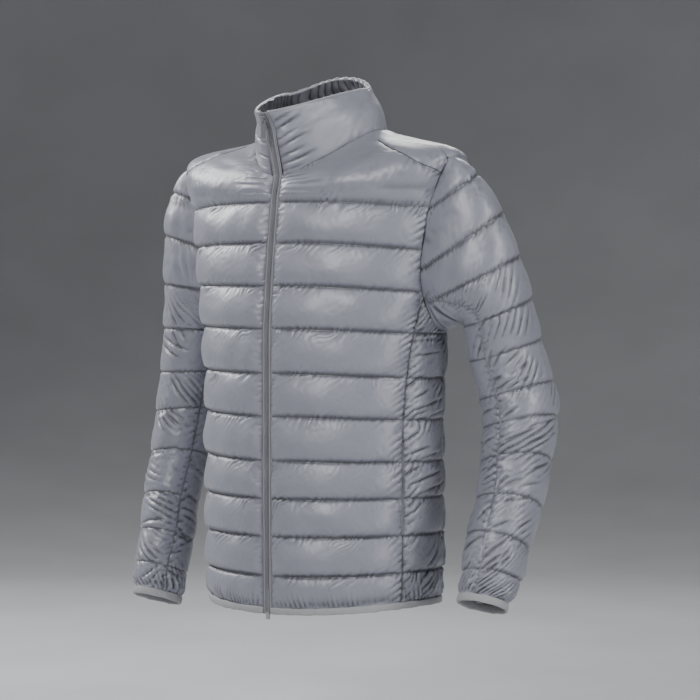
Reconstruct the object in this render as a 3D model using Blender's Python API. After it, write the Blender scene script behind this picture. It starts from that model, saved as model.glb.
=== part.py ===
"""A quilted puffer jacket, filled out and hollow, as separate solids for each piece that is cut and sewn.

The jacket faces -Y, the wearer's left is +X and +Z is up. Heights in the tables are above the hem's lowest
point. The origin is inside the neck at the height of the shoulders, where the wearer holds the jacket up.
"""

import math

import bmesh
import bpy
import numpy as np

# ---------------------------------------------------------------- driving dimensions, in metres and degrees
HELD_HEIGHT = 0.655  # the origin above the hem
SEAM = 0.0003  # air between two pieces at a seam
WALL = 0.0025  # cloth, filling and cloth where a seam presses them flat
BODY_PUFF = 0.0095  # how far the filling raises a channel of the body, the sides, sleeves and collar
SIDE_PUFF = 0.0076
SLEEVE_PUFF = 0.0065
COLLAR_PUFF = 0.0015
SEAM_FADE = 0.012  # the puff grows over about this length from a seam
COLLAR_FADE = 0.008
ROUNDNESS = 0.7  # the power that makes a channel's top fuller than a sine

ZIP_EDGE = 0.0070  # half the width of the whole zip
TAPE_INNER = 0.0029
CHAIN_HALF = 0.0026
TAPE_THICK = 0.0010
CHAIN_THICK = 0.0022

HEM_BINDING = 0.0090  # height of the hem's binding
CUFF_BINDING = 0.0110
BINDING_THICK = 0.0034

POCKET_LOW = 2.0  # the pocket zips' ends, as ring numbers from the hem up
POCKET_HIGH = 4.5
POCKET_HALF = 0.0028  # half the width of a pocket zip
POCKET_THICK = 0.0016
POCKET_END = 0.02  # the zips stop this far short of the slit's ends, in rings

SEAM_TWIST = {1: 8.0, -1: 26.0}  # how far a sleeve's seams turn forward on their way down, by side
FRONT_SEAM_PHI = 128.0  # a sleeve's seams, in degrees round it from the outer side through the front
BACK_SEAM_PHI = 238.0

# The body's rings, from the hem up. Each has its height at the centre front, at the wearer's left and right
# side and at the centre back, its half width, its depths before and behind the line of the sides, and how
# pointed its front is, 1 being an ellipse.
BODY_COLUMNS = ("front", "left", "right", "back", "half_width", "front_depth", "back_depth", "point")
BODY_RINGS = {
    "hem": (0.006, 0.018, 0.012, 0.010, 0.179, 0.1340, 0.127, 1.0),
    "line_10": (0.060, 0.068, 0.062, 0.063, 0.1825, 0.1355, 0.130, 1.0),
    "line_9": (0.115, 0.119, 0.113, 0.115, 0.1835, 0.1360, 0.131, 1.0),
    "line_8": (0.168, 0.170, 0.169, 0.168, 0.1840, 0.1365, 0.131, 1.0),
    "line_7": (0.221, 0.220, 0.226, 0.222, 0.1840, 0.1365, 0.130, 1.0),
    "line_6": (0.283, 0.278, 0.287, 0.283, 0.1840, 0.1365, 0.130, 1.0),
    "line_5": (0.343, 0.336, 0.346, 0.343, 0.1855, 0.1365, 0.132, 1.0),
    "line_4": (0.405, 0.398, 0.408, 0.405, 0.1905, 0.1362, 0.135, 1.0),
    "line_3": (0.465, 0.455, 0.467, 0.465, 0.2000, 0.1318, 0.137, 1.0),
    "line_2": (0.525, 0.512, 0.521, 0.525, 0.2095, 0.1260, 0.134, 1.0),
    "line_1": (0.582, 0.571, 0.575, 0.582, 0.2180, 0.1190, 0.125, 1.0),
    "yoke_low": (0.592, 0.611, 0.613, 0.612, 0.2270, 0.1172, 0.118, 1.0),
    "shoulder": (0.600, 0.637, 0.639, 0.636, 0.2300, 0.1155, 0.110, 1.0),
    "yoke_mid": (0.606, 0.6500, 0.6505, 0.654, 0.2050, 0.1140, 0.100, 1.0),
    "yoke_high": (0.612, 0.6600, 0.6605, 0.670, 0.1620, 0.1128, 0.090, 1.0),
    "neck_foot": (0.6165, 0.6700, 0.6700, 0.683, 0.1215, 0.1120, 0.079, 1.15),
    "neckline": (0.620, 0.6850, 0.6850, 0.694, 0.0967, 0.1115, 0.0682, 1.3),
}
RING_NAMES = list(BODY_RINGS)
LINE_1 = RING_NAMES.index("line_1")
SHOULDER = RING_NAMES.index("shoulder")
NECKLINE = RING_NAMES.index("neckline")
FRONT_LINES = (*range(LINE_1 + 1), NECKLINE)  # where the quilting presses the fronts flat
BACK_LINES = (*range(LINE_1 + 1), SHOULDER, NECKLINE)
LAST_SIDE_LINE = RING_NAMES.index("line_5")  # the side panels' highest whole quilting line
HEM_ROW = HEM_BINDING / (BODY_RINGS["line_10"][0] - BODY_RINGS["hem"][0])  # the ring where the panels end

# The seam between front and side panel: its angle from the centre front at some heights.
SIDE_SEAM_HEIGHT = (0.0, 0.28, 0.34, 0.40, 0.45)
SIDE_SEAM_ANGLE = (68.5, 68.5, 70.5, 72.7, 76.0)
SIDE_SEAM_TOP = 0.446  # where the seam meets the armhole
SIDE_CORNER = 0.78  # beyond this share of the armhole's bottom the side panel's top runs level
UNDERARM_GAP = 0.025  # the side panel stops this far below the armhole, in rings
BACK_SEAM_ANGLE = 111.0
SHOULDER_SEAM_ARMHOLE = 77.0  # the forward shoulder seam's angles at the armhole and at the neck
SHOULDER_SEAM_NECK = 72.0
SHOULDER_RUN_FRONT = 0.6  # the seam turns from armhole to shoulder this many rings below the shoulder's ring
SHOULDER_RUN_BACK = 0.25
TOP_GAP = 0.02  # the body's panels stop this far below the neckline, in rings

# The armhole, as angles round the body and heights.
ARMHOLE_FRONT = 70.5
ARMHOLE_BACK = 111.0
ARMHOLE_TOP = 80.0
ARMHOLE_BOTTOM = 95.0
ARMHOLE_MID = 0.5215
ARMHOLE_HALF = 0.1165

# The collar's rings, from the neckline up, with the same columns.
COLLAR_RINGS = {
    "foot": (0.6204, 0.6854, 0.6854, 0.6944, 0.0965, 0.1116, 0.0680, 1.30),
    "low": (0.6420, 0.7010, 0.7010, 0.7130, 0.0915, 0.1172, 0.0660, 1.35),
    "middle": (0.6640, 0.7170, 0.7170, 0.7320, 0.0850, 0.1240, 0.0610, 1.40),
    "high": (0.6850, 0.7315, 0.7315, 0.7500, 0.0775, 0.1300, 0.0540, 1.50),
    "top": (0.7050, 0.7450, 0.7450, 0.7670, 0.0715, 0.1460, 0.0470, 1.60),
}

COLLAR_RING_HEIGHT = 0.020
COLLAR_FOOT_GAP = 0.012  # the collar starts this far above the neckline, in rings
LINING_THICK = 0.0016

# The sleeves' quilting lines as flat loops: each loop's middle, its half sizes across and from front to
# back, how its outer end rises and how its front end rises. The first two only cross the sleeve's cap.
SLEEVE_COLUMNS = ("x", "y", "z", "across", "deep", "rise", "pitch")
LEFT_SLEEVE = {
    "line_1": (0.236, 0.005, 0.528, 0.0600, 0.0690, 35.0, 0.0),
    "line_2": (0.266, 0.012, 0.481, 0.0530, 0.0650, 27.0, 0.0),
    "line_3": (0.281, 0.020, 0.427, 0.0500, 0.0610, 23.0, -2.0),
    "line_4": (0.286, 0.030, 0.376, 0.0515, 0.0580, 18.0, -2.0),
    "line_5": (0.301, 0.035, 0.320, 0.0515, 0.0570, 15.0, 4.0),
    "line_6": (0.311, 0.030, 0.276, 0.0515, 0.0570, 10.0, 10.0),
    "line_7": (0.315, 0.012, 0.224, 0.0480, 0.0540, 3.0, 16.0),
    "line_8": (0.322, -0.015, 0.168, 0.0440, 0.0500, -8.0, 20.0),
    "line_9": (0.320, -0.040, 0.118, 0.0420, 0.0460, -15.0, 20.0),
    "line_10": (0.323, -0.060, 0.073, 0.0390, 0.0420, -12.0, 18.0),
    "cuff": (0.319, -0.073, 0.043, 0.0332, 0.0370, -13.0, 16.0),
}
RIGHT_SLEEVE = {
    "line_1": (-0.232, 0.012, 0.521, 0.0550, 0.0690, 20.0, 0.0),
    "line_2": (-0.250, 0.020, 0.461, 0.0510, 0.0630, 10.0, 0.0),
    "line_3": (-0.261, 0.026, 0.401, 0.0470, 0.0590, 3.0, 0.0),
    "line_4": (-0.270, 0.028, 0.337, 0.0460, 0.0570, 0.0, 2.0),
    "line_5": (-0.278, 0.025, 0.279, 0.0455, 0.0550, -2.0, 6.0),
    "line_6": (-0.280, 0.012, 0.213, 0.0435, 0.0520, 4.0, 12.0),
    "line_7": (-0.281, -0.008, 0.147, 0.0405, 0.0480, 11.0, 15.0),
    "line_8": (-0.274, -0.027, 0.094, 0.0395, 0.0450, 13.0, 15.0),
    "line_9": (-0.272, -0.043, 0.046, 0.0380, 0.0420, 14.0, 14.0),
    "cuff": (-0.269, -0.054, 0.011, 0.0350, 0.0380, 13.0, 13.0),
}
SLEEVE_TURN = 36.0  # the loops' across direction is turned this far back from the wearer's left
CAP_LINES = 2  # quilting lines that only cross the cap
CAP_LINE_SPACING = 0.062  # between quilting lines above the first
CAP_LEAVES = (0.88, -0.35)  # how the cap leaves the armhole, outwards and down
CAP_SPREAD = 0.25  # how far its front and back lean forward and back there
SLEEVE_TOP_GAP = 0.012  # how far the sleeve stops short of the armhole and the cuff, in rows
SLEEVE_END_GAP = 0.004
CAP_ROWS = 12
TOP_COLUMNS = 15
UNDER_COLUMNS = 9
METRES_A_DEGREE = 0.0009  # round a sleeve
ARMHOLE_FADE = 0.08  # how soon the filling rises from the armhole
ARMHOLE_START = 0.0005
INNER_PLACES = (0, 1, 5)  # the filling is pressed flatter on a sleeve's inner side, at these places
INNER_PRESSED = (0.75, 0.75, 0.6, 0.2)

CLOTH = (0.36, 0.37, 0.41)
CLOTH_DARK = (0.16, 0.165, 0.19)
BINDING = (0.50, 0.51, 0.53)
METAL = (0.45, 0.46, 0.48)


# ---------------------------------------------------------------- curves and rings
def table(rows, columns):
    """The columns of a table of rings, by name, as arrays."""
    values = np.array(list(rows.values()), float)
    return {name: values[:, i] for i, name in enumerate(columns)}


def smooth(values, at):
    """A smooth curve through evenly spaced values (Catmull-Rom), read at places from 0 to their number."""
    values = np.asarray(values, float)
    last = len(values) - 1
    ends = [2 * values[0] - values[1], *values, 2 * values[-1] - values[-2]]
    padded = np.array(ends)
    at = np.clip(at, 0, last)
    i = np.minimum(at.astype(int), last - 1)
    t = at - i
    a, b, c, d = padded[i], padded[i + 1], padded[i + 2], padded[i + 3]
    return 0.5 * (
        2 * b
        + (c - a) * t
        + (2 * a - 5 * b + 4 * c - d) * t**2
        + (3 * b - a - 3 * c + d) * t**3
    )


def unit(vectors):
    return vectors / np.maximum(np.linalg.norm(vectors, axis=-1, keepdims=True), 1e-12)


BODY = table(BODY_RINGS, BODY_COLUMNS)
COLLAR = table(COLLAR_RINGS, BODY_COLUMNS)


def ring_point(rings, angle, ring):
    """A point of a pressed-flat surface: angle in degrees from the centre front, ring a row number."""
    angle, ring = np.broadcast_arrays(np.asarray(angle, float), np.asarray(ring, float))
    row = {name: smooth(rings[name], ring) for name in BODY_COLUMNS}
    s, c = np.sin(np.radians(angle)), np.cos(np.radians(angle))
    side = np.where(s >= 0, row["left"], row["right"])
    middle = np.where(c >= 0, row["front"], row["back"])
    before = row["front_depth"] * np.abs(c) ** row["point"]
    depth = np.where(c >= 0, -before, -row["back_depth"] * c)
    height = middle + (side - middle) * s**2
    return np.stack([row["half_width"] * s, depth, height - HELD_HEIGHT], axis=-1)


def body_point(angle, ring):
    return ring_point(BODY, angle, ring)


def collar_point(angle, ring):
    return ring_point(COLLAR, angle, ring)


def ring_at_height(angle, height, side):
    """The ring number whose height at an angle is the one given."""
    rings = np.linspace(0, NECKLINE, 400)
    flat_angle, flat_height = np.ravel(angle), np.ravel(height)
    found = [
        np.interp(h, body_point(side * a, rings)[:, 2] + HELD_HEIGHT, rings)
        for a, h in np.broadcast(flat_angle, flat_height)
    ]
    return np.array(found).reshape(np.shape(angle))


def normals(surface, u, v, step_u, step_v, middle):
    """Unit normals of a surface, turned away from the line that middle gives."""
    across = surface(u + step_u, v) - surface(u - step_u, v)
    along = surface(u, v + step_v) - surface(u, v - step_v)
    normal = unit(np.cross(across, along))
    outward = surface(u, v) - middle(u, v)
    return normal * np.where((normal * outward).sum(-1, keepdims=True) < 0, -1.0, 1.0)


def channel(place, lines):
    """How round the filling is between two quilting lines: 0 on a line and 1 midway."""
    lines = np.asarray(lines, float)
    i = np.clip(np.searchsorted(lines, place, side="right") - 1, 0, len(lines) - 2)
    t = np.clip((place - lines[i]) / (lines[i + 1] - lines[i]), 0, 1)
    return np.sin(math.pi * t) ** ROUNDNESS


def rows_between(lines, shares=(0.0, 0.2, 0.5, 0.8)):
    """Rows at each line and at a few shares of the way to the next."""
    rows = [a + (b - a) * share for a, b in zip(lines[:-1], lines[1:]) for share in shares]
    return np.array([*rows, lines[-1]], float)


def columns_between(count, edge=(0.035, 0.09)):
    """Shares of a panel's width, closer together near its two side edges."""
    inner = np.linspace(edge[-1] * 2, 1 - edge[-1] * 2, count - 2 * len(edge) - 2)
    return np.array([0.0, *edge, *inner, *(1 - np.array(edge[::-1])), 1.0])


# ---------------------------------------------------------------- meshes
def finish_object(name, vertices, faces, colour, roughness=0.5, metallic=0.0):
    """A closed mesh as an object with its own material, its faces pointing out."""
    mesh = bpy.data.meshes.new(name)
    mesh.from_pydata([tuple(map(float, p)) for p in vertices], [], faces)
    work = bmesh.new()
    work.from_mesh(mesh)
    bmesh.ops.recalc_face_normals(work, faces=work.faces)
    work.to_mesh(mesh)
    work.free()
    mesh.shade_smooth()
    mesh.set_sharp_from_angle(angle=math.radians(50))
    made = bpy.data.objects.new(name, mesh)
    PARTS.objects.link(made)
    return paint(made, colour, roughness, metallic)


def paint(made, colour, roughness=0.5, metallic=0.0):
    """Gives an object a material of its own."""
    material = bpy.data.materials.new(made.name)
    material.use_nodes = True
    shader = material.node_tree.nodes["Principled BSDF"]
    shader.inputs["Base Color"].default_value = (*colour, 1.0)
    shader.inputs["Roughness"].default_value = roughness
    shader.inputs["Metallic"].default_value = metallic
    made.data.materials.clear()
    made.data.materials.append(material)
    return made


def zip_edges(first, first_at, second, second_at):
    """Triangles between two rows of points that run side by side but are not equally close set."""
    faces, i, j = [], 0, 0
    while i < len(first) - 1 or j < len(second) - 1:
        on_first = j == len(second) - 1 or (i < len(first) - 1 and first_at[i + 1] <= second_at[j + 1])
        if on_first:
            faces.append((first[i], first[i + 1], second[j]))
            i += 1
        else:
            faces.append((first[i], second[j + 1], second[j]))
            j += 1
    return faces


def wall(name, outer, outer_at, inner, inner_at, colour, closed=False):
    """A wall of cloth between two grids with the same columns. Closed ones run all round."""
    rows, columns = outer.shape[:2]
    inner_rows = inner.shape[0]
    top = np.arange(rows * columns).reshape(rows, columns)
    under = rows * columns + np.arange(inner_rows * columns).reshape(inner_rows, columns)
    faces = []
    around = range(columns if closed else columns - 1)
    for grid in (top, under):
        for r in range(grid.shape[0] - 1):
            for c in around:
                d = (c + 1) % columns
                faces.append((grid[r, c], grid[r, d], grid[r + 1, d], grid[r + 1, c]))
    for a, b in ((top[0], under[0]), (top[-1], under[-1])):
        faces += [(a[c], a[(c + 1) % columns], b[(c + 1) % columns], b[c]) for c in around]
    if not closed:
        for c in (0, -1):
            faces += zip_edges(top[:, c], outer_at, under[:, c], inner_at)
    points = np.concatenate([outer.reshape(-1, 3), inner.reshape(-1, 3)])
    faces = [tuple(int(i) for i in face) for face in faces]
    return finish_object(name, points, faces, colour)


# ---------------------------------------------------------------- the body's panels
def side_seam(ring, side):
    """Angle of the seam between front and side panel, and above it the armhole and shoulder seam."""
    angle = np.full(np.shape(ring), SIDE_SEAM_ANGLE[0], float)
    for _ in range(8):
        height = body_point(side * angle, ring)[..., 2] + HELD_HEIGHT
        below = np.interp(height, SIDE_SEAM_HEIGHT, SIDE_SEAM_ANGLE)
        share = np.clip((height - ARMHOLE_MID) / ARMHOLE_HALF, -1, 1)
        curve = np.sqrt(1 - share**2)
        far = np.where(share > 0, ARMHOLE_TOP, ARMHOLE_BOTTOM)
        hole = far - (far - ARMHOLE_FRONT) * curve
        angle = np.where(height < SIDE_SEAM_TOP, below, hole)
    start = SHOULDER - SHOULDER_RUN_FRONT
    neck_share = np.clip((ring - start) / (NECKLINE - start), 0, 1)
    shoulder = SHOULDER_SEAM_ARMHOLE + (SHOULDER_SEAM_NECK - SHOULDER_SEAM_ARMHOLE) * neck_share
    return np.where((angle > shoulder) & (ring > LINE_1), shoulder, angle)


def back_edge(ring, side):
    """Angle of the back's side edge: side seam, armhole, and the forward shoulder seam on top."""
    angle = np.full(np.shape(ring), BACK_SEAM_ANGLE, float)
    for _ in range(12):
        height = body_point(side * angle, ring)[..., 2] + HELD_HEIGHT
        share = np.clip((height - ARMHOLE_MID) / ARMHOLE_HALF, 0, 1)
        hole = ARMHOLE_TOP + (ARMHOLE_BACK - ARMHOLE_TOP) * np.sqrt(1 - share**2)
        angle = 0.5 * angle + 0.5 * hole
    neck_share = np.clip((ring - SHOULDER) / (NECKLINE - SHOULDER), 0, 1)
    shoulder = SHOULDER_SEAM_ARMHOLE + (SHOULDER_SEAM_NECK - SHOULDER_SEAM_ARMHOLE) * neck_share
    blend = np.clip(1 + (ring - SHOULDER) / SHOULDER_RUN_BACK, 0, 1)
    return np.where(ring >= SHOULDER, shoulder, angle * (1 - blend) + shoulder * blend)


def body_normals(angle, ring):
    """Outward normals of the body. On the shoulders, outwards is away from a line lower down inside."""
    chest = 0.60 - HELD_HEIGHT

    def middle(a, r):
        point = body_point(a, r)
        height = point[..., 2]
        lower = np.minimum(height, chest) - 0.05 * (height > chest)
        return np.stack([point[..., 0] * 0.4, point[..., 1] * 0.2, lower], axis=-1)

    return normals(body_point, angle, np.clip(ring, 0.01, NECKLINE - 0.01), 0.2, 0.01, middle)


def half_gap(ring):
    """Half the gap of the side seam, wider where a pocket zip lies in it."""
    inside = (ring > POCKET_LOW - 0.01) & (ring < POCKET_HIGH + 0.01)
    return np.where(inside, POCKET_HALF + 1.5 * SEAM, SEAM / 2)


def puffed(points, normal, lift, swell):
    """The points moved out by the filling, which fades to nothing at the panel's two side edges."""
    length = np.linalg.norm(np.diff(points, axis=1), axis=2)
    along = np.concatenate([np.zeros((len(points), 1)), np.cumsum(length, axis=1)], axis=1)
    near = np.minimum(along, along[:, -1:] - along)
    rise = lift * swell * (1 - np.exp(-near / SEAM_FADE))
    return points + rise[..., None] * normal


def body_panel(name, lines, first_edge, second_edge, count):
    """One panel between two edges, each given as the edge's angle for each ring."""
    shares = columns_between(count)

    def grid(rows, inside):
        first, second = first_edge(rows), second_edge(rows)
        angle = first[:, None] + (second - first)[:, None] * shares[None, :]
        ring = np.broadcast_to(rows[:, None], angle.shape)
        points = body_point(angle, ring)
        normal = body_normals(angle, ring)
        if inside:
            return points - WALL * normal
        return puffed(points, normal, BODY_PUFF, channel(ring, lines))

    outer_rows = rows_between(lines)
    inner_rows = np.union1d(lines, (POCKET_LOW, POCKET_HIGH))
    if lines[-1] - lines[-2] > 3:
        extra = np.arange(lines[-2] + 1, lines[-1])
        outer_rows = np.union1d(outer_rows, extra)
        inner_rows = np.union1d(inner_rows, extra)
    for rows in (outer_rows, inner_rows):
        rows[0] = HEM_ROW
        rows[-1] -= TOP_GAP
    return wall(name, grid(outer_rows, False), outer_rows, grid(inner_rows, True), inner_rows, CLOTH)


def degrees_of(length, ring, angle):
    """The turn round the body that a length of cloth takes."""
    step = np.linalg.norm(body_point(angle + 0.5, ring) - body_point(angle - 0.5, ring), axis=-1)
    return length / step


def make_fronts():
    for name, side in (("front_left", 1), ("front_right", -1)):

        def zip_side(rows, side=side):
            half_width = smooth(BODY["half_width"], rows)
            return side * np.degrees(np.arcsin((ZIP_EDGE + SEAM) / half_width))

        def outer_side(rows, side=side):
            angle = side_seam(rows, side)
            return side * (angle - degrees_of(half_gap(rows), rows, side * angle))

        body_panel(name, FRONT_LINES, zip_side, outer_side, 12)


def make_back():
    def left(rows):
        angle = back_edge(rows, 1)
        return angle + degrees_of(SEAM / 2, rows, angle)

    def right(rows):
        angle = back_edge(rows, -1)
        return 360 - angle - degrees_of(SEAM / 2, rows, -angle)

    body_panel("back", BACK_LINES, left, right, 20)


def make_sides():
    """The panels under the arms, whose top edges are the bottoms of the armholes."""
    shares = np.linspace(0, 1, 8)
    level_top = SIDE_SEAM_TOP + 0.001
    to_front = ARMHOLE_BOTTOM - ARMHOLE_FRONT
    to_back = ARMHOLE_BACK - ARMHOLE_BOTTOM
    for name, side in (("side_left", 1), ("side_right", -1)):
        top_front = float(ring_at_height(SIDE_SEAM_ANGLE[-1], level_top, side))

        def edge_angles(rows, side=side):
            front, back = side_seam(rows, side), np.full(rows.shape, BACK_SEAM_ANGLE)
            front = front + degrees_of(half_gap(rows), rows, side * front)
            return front, back - degrees_of(SEAM / 2, rows, side * back)

        def grid(rows, inside, side=side, top_front=top_front):
            front, back = edge_angles(rows, side)
            angle = front[:, None] + (back - front)[:, None] * shares[None, :]
            reach = np.where(angle < ARMHOLE_BOTTOM, to_front, to_back)
            share = np.clip((angle - ARMHOLE_BOTTOM) / reach, -1, 1)
            height = ARMHOLE_MID - ARMHOLE_HALF * np.sqrt(1 - share**2)
            height = np.where(np.abs(share) > SIDE_CORNER, np.minimum(height, level_top), height)
            top = ring_at_height(angle[-1], height[-1], side) - UNDERARM_GAP
            squeeze = np.clip((rows - LAST_SIDE_LINE) / (top_front - LAST_SIDE_LINE), 0, 1)[:, None]
            ring = np.minimum(rows, LAST_SIDE_LINE)[:, None] + squeeze * (top - LAST_SIDE_LINE)
            points = body_point(side * angle, ring)
            normal = body_normals(side * angle, ring)
            if inside:
                return points - WALL * normal
            return puffed(points, normal, SIDE_PUFF, channel(rows, lines)[:, None])

        lines = (*range(LAST_SIDE_LINE + 1), top_front)
        outer_rows, inner_rows = rows_between(lines), np.union1d(lines, (POCKET_LOW, POCKET_HIGH))
        outer_rows[0] = inner_rows[0] = HEM_ROW
        wall(name, grid(outer_rows, False), outer_rows, grid(inner_rows, True), inner_rows, CLOTH)


# ---------------------------------------------------------------- the sleeves
def armhole(phi, side):
    """The armhole as a loop: phi runs from its top through the front, the underarm and the back."""
    s, c = np.sin(np.radians(phi)), np.cos(np.radians(phi))
    middle = np.where(c >= 0, ARMHOLE_TOP, ARMHOLE_BOTTOM)
    angle = np.where(s >= 0, middle - (middle - ARMHOLE_FRONT) * s, middle - (ARMHOLE_BACK - middle) * s)
    height = ARMHOLE_MID + ARMHOLE_HALF * c
    return body_point(side * angle, ring_at_height(angle, height, side))


def sleeve_frame(rows, side):
    """The loops' middles, sizes and axes: outwards, to the front and down the sleeve."""
    data = table(rows, SLEEVE_COLUMNS)
    turn, rise, pitch = math.radians(SLEEVE_TURN), np.radians(data["rise"]), np.radians(data["pitch"])
    outward = side * np.array([math.cos(turn), math.sin(turn), 0.0])
    forward = np.array([math.sin(turn), -math.cos(turn), 0.0])
    across = np.cos(rise)[:, None] * outward + np.sin(rise)[:, None] * (0, 0, 1)
    deep = np.cos(pitch)[:, None] * forward + np.sin(pitch)[:, None] * (0, 0, 1)
    deep = unit(deep - (deep * across).sum(1, keepdims=True) * across)
    centre = np.stack([data["x"], data["y"], data["z"] - HELD_HEIGHT], axis=1)
    down = np.cross(across, deep)
    down *= np.where(down[:, 2:] > 0, -1.0, 1.0)
    return centre, data["across"], data["deep"], across, deep, down


def make_sleeve_surface(rows, side):
    """A function of phi and place: place 0 is the armhole, 1 the first loop below it, and so on down."""
    centre, half_across, half_deep, across, deep, down = sleeve_frame(rows, side)
    low = slice(CAP_LINES, None)

    def loops(phi, place):
        at = np.asarray(place, float) - 1
        c = np.cos(np.radians(phi))[..., None]
        s = np.sin(np.radians(phi))[..., None]
        a = smooth(half_across[low], at)[..., None]
        d = smooth(half_deep[low], at)[..., None]
        middle = np.stack([smooth(centre[low][:, i], at) for i in range(3)], axis=-1)
        out = np.stack([smooth(across[low][:, i], at) for i in range(3)], axis=-1)
        fore = np.stack([smooth(deep[low][:, i], at) for i in range(3)], axis=-1)
        return middle + a * c * unit(out) + d * s * unit(fore)

    sample = np.linspace(0, 360, 145)
    hole = armhole(sample % 360, side)

    def surface(phi, place):
        phi, place = np.broadcast_arrays(np.asarray(phi, float), np.asarray(place, float))
        start = np.stack([np.interp(phi % 360, sample, hole[:, i]) for i in range(3)], axis=-1)
        end = loops(phi, np.ones_like(phi))
        span = np.linalg.norm(end - start, axis=-1, keepdims=True)
        leave = unit(np.array([side * CAP_LEAVES[0], 0.0, CAP_LEAVES[1]]))
        leave = leave + CAP_SPREAD * np.sin(np.radians(phi))[..., None] * (0, -1, 0)
        arrive = loops(phi, np.full(phi.shape, 1.05)) - end
        t = np.clip(place, 0, 1)[..., None]
        cap = (
            (2 * t**3 - 3 * t**2 + 1) * start
            + (t**3 - 2 * t**2 + t) * leave * span
            + (3 * t**2 - 2 * t**3) * end
            + (t**3 - t**2) * unit(arrive) * span
        )
        return np.where(place[..., None] < 1, cap, loops(phi, np.maximum(place, 1.0)))

    def axis(phi, place):
        below = np.stack([smooth(centre[low][:, i], np.asarray(place, float) - 1) for i in range(3)], axis=-1)
        top = hole[::6].mean(0)
        t = np.clip(place, 0, 1)[..., None]
        return np.where(place[..., None] < 1, top + (below - top) * t, below)

    def quilting(points, place):
        """The quilting lines' numbers over the sleeve, whole on a line."""
        planes = [((points - centre[i]) * down[i]).sum(-1) for i in range(CAP_LINES + 1)]
        number = 1 + planes[0] / CAP_LINE_SPACING
        for i in range(CAP_LINES):
            share = planes[i] / np.maximum(planes[i] - planes[i + 1], 1e-6)
            number = np.where(planes[i] > 0, i + 1 + np.clip(share, 0, 1), number)
        return np.where(place < 1, number, place + CAP_LINES)

    return surface, axis, quilting


def make_sleeve(prefix, rows, side):
    surface, axis, quilting = make_sleeve_surface(rows, side)
    loops = len(rows) - CAP_LINES
    cap_rows = np.linspace(0, 1, CAP_ROWS + 1)[:-1]
    outer_rows = np.concatenate([cap_rows, rows_between(tuple(range(1, loops + 1)))])
    inner_rows = np.concatenate([np.linspace(0, 1, 6)[:-1], np.arange(1, loops + 1)])
    for places in (outer_rows, inner_rows):
        places[0] = SLEEVE_TOP_GAP
        places[-1] -= SLEEVE_END_GAP
    lines = np.arange(-2, len(rows) + 1)
    spans = (
        ("top", np.linspace(BACK_SEAM_PHI - 360, FRONT_SEAM_PHI, TOP_COLUMNS)),
        ("under", np.linspace(FRONT_SEAM_PHI, BACK_SEAM_PHI, UNDER_COLUMNS)),
    )
    for part, phis in spans:

        def grid(places, inside, phis=phis):
            phi, place = np.meshgrid(phis, places)
            edge = np.minimum(phi - phis[0], phis[-1] - phi)
            first, last = phi == phis[0], phi == phis[-1]
            phi = phi - SEAM_TWIST[side] * place / loops
            points = surface(phi, place)
            normal = normals(surface, phi, np.maximum(place, 0.03), 1.0, 0.01, axis)
            across = unit(surface(phi + 0.5, place) - surface(phi - 0.5, place))
            nudge = 0.7 * SEAM * (first.astype(float) - last)
            points = points + nudge[..., None] * across
            if inside:
                return points - WALL * normal
            inner_side = np.cos(np.radians(phi - 180)).clip(0, 1) ** 1.5
            squeezed = 1 - inner_side * np.interp(place, (*INNER_PLACES, loops), INNER_PRESSED)
            near = np.minimum(edge * METRES_A_DEGREE, place * ARMHOLE_FADE + ARMHOLE_START)
            swell = channel(quilting(points, place), lines) * (1 - np.exp(-near / SEAM_FADE))
            rise = SLEEVE_PUFF * swell * squeezed
            return points + rise[..., None] * normal

        outer, inner = grid(outer_rows, False), grid(inner_rows, True)
        wall(f"{prefix}_{part}", outer, outer_rows, inner, inner_rows, CLOTH)
    make_cuff(prefix.replace("sleeve", "cuff_binding"), surface, axis, loops)


def make_cuff(name, surface, axis, loops):
    """The elastic binding round the sleeve's end."""
    phi, place = np.meshgrid(np.arange(0, 360, 15.0), np.array([loops, loops]))
    edge = surface(phi, place)
    normal = normals(surface, phi, place - 0.02, 1.0, 0.01, axis)
    middle = axis(phi, place)
    along = unit(np.cross(edge[:, 6:7] - middle[:, 6:7], edge[:, 0:1] - middle[:, 0:1]))
    along = along * np.where(along[..., 2:] > 0, -1.0, 1.0)
    rows = np.array([0.0003, CUFF_BINDING])[:, None, None]
    base = edge + along * rows
    outer = base + (BINDING_THICK - WALL) * 0.5 * normal
    inner = outer - BINDING_THICK * normal
    wall(name, outer, rows[:, 0, 0], inner, rows[:, 0, 0], BINDING, closed=True)


# ---------------------------------------------------------------- bindings, collar, zip and pockets
def make_hem_binding():
    """The elastic binding along the hem, from one side of the zip round to the other."""
    edge = math.degrees(math.asin((ZIP_EDGE + SEAM) / BODY["half_width"][0]))
    rows = np.array([0.0, HEM_ROW - 1.3 * SEAM / HEM_BINDING * HEM_ROW])
    angle, ring = np.meshgrid(np.linspace(edge, 360 - edge, 65), rows)
    base = body_point(angle, ring)
    normal = unit(body_normals(angle, ring) * (1, 1, 0))
    outer = base + 0.5 * (BINDING_THICK - WALL) * normal
    inner = outer - BINDING_THICK * normal
    wall("hem_binding", outer, rows, inner, rows, BINDING)


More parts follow.
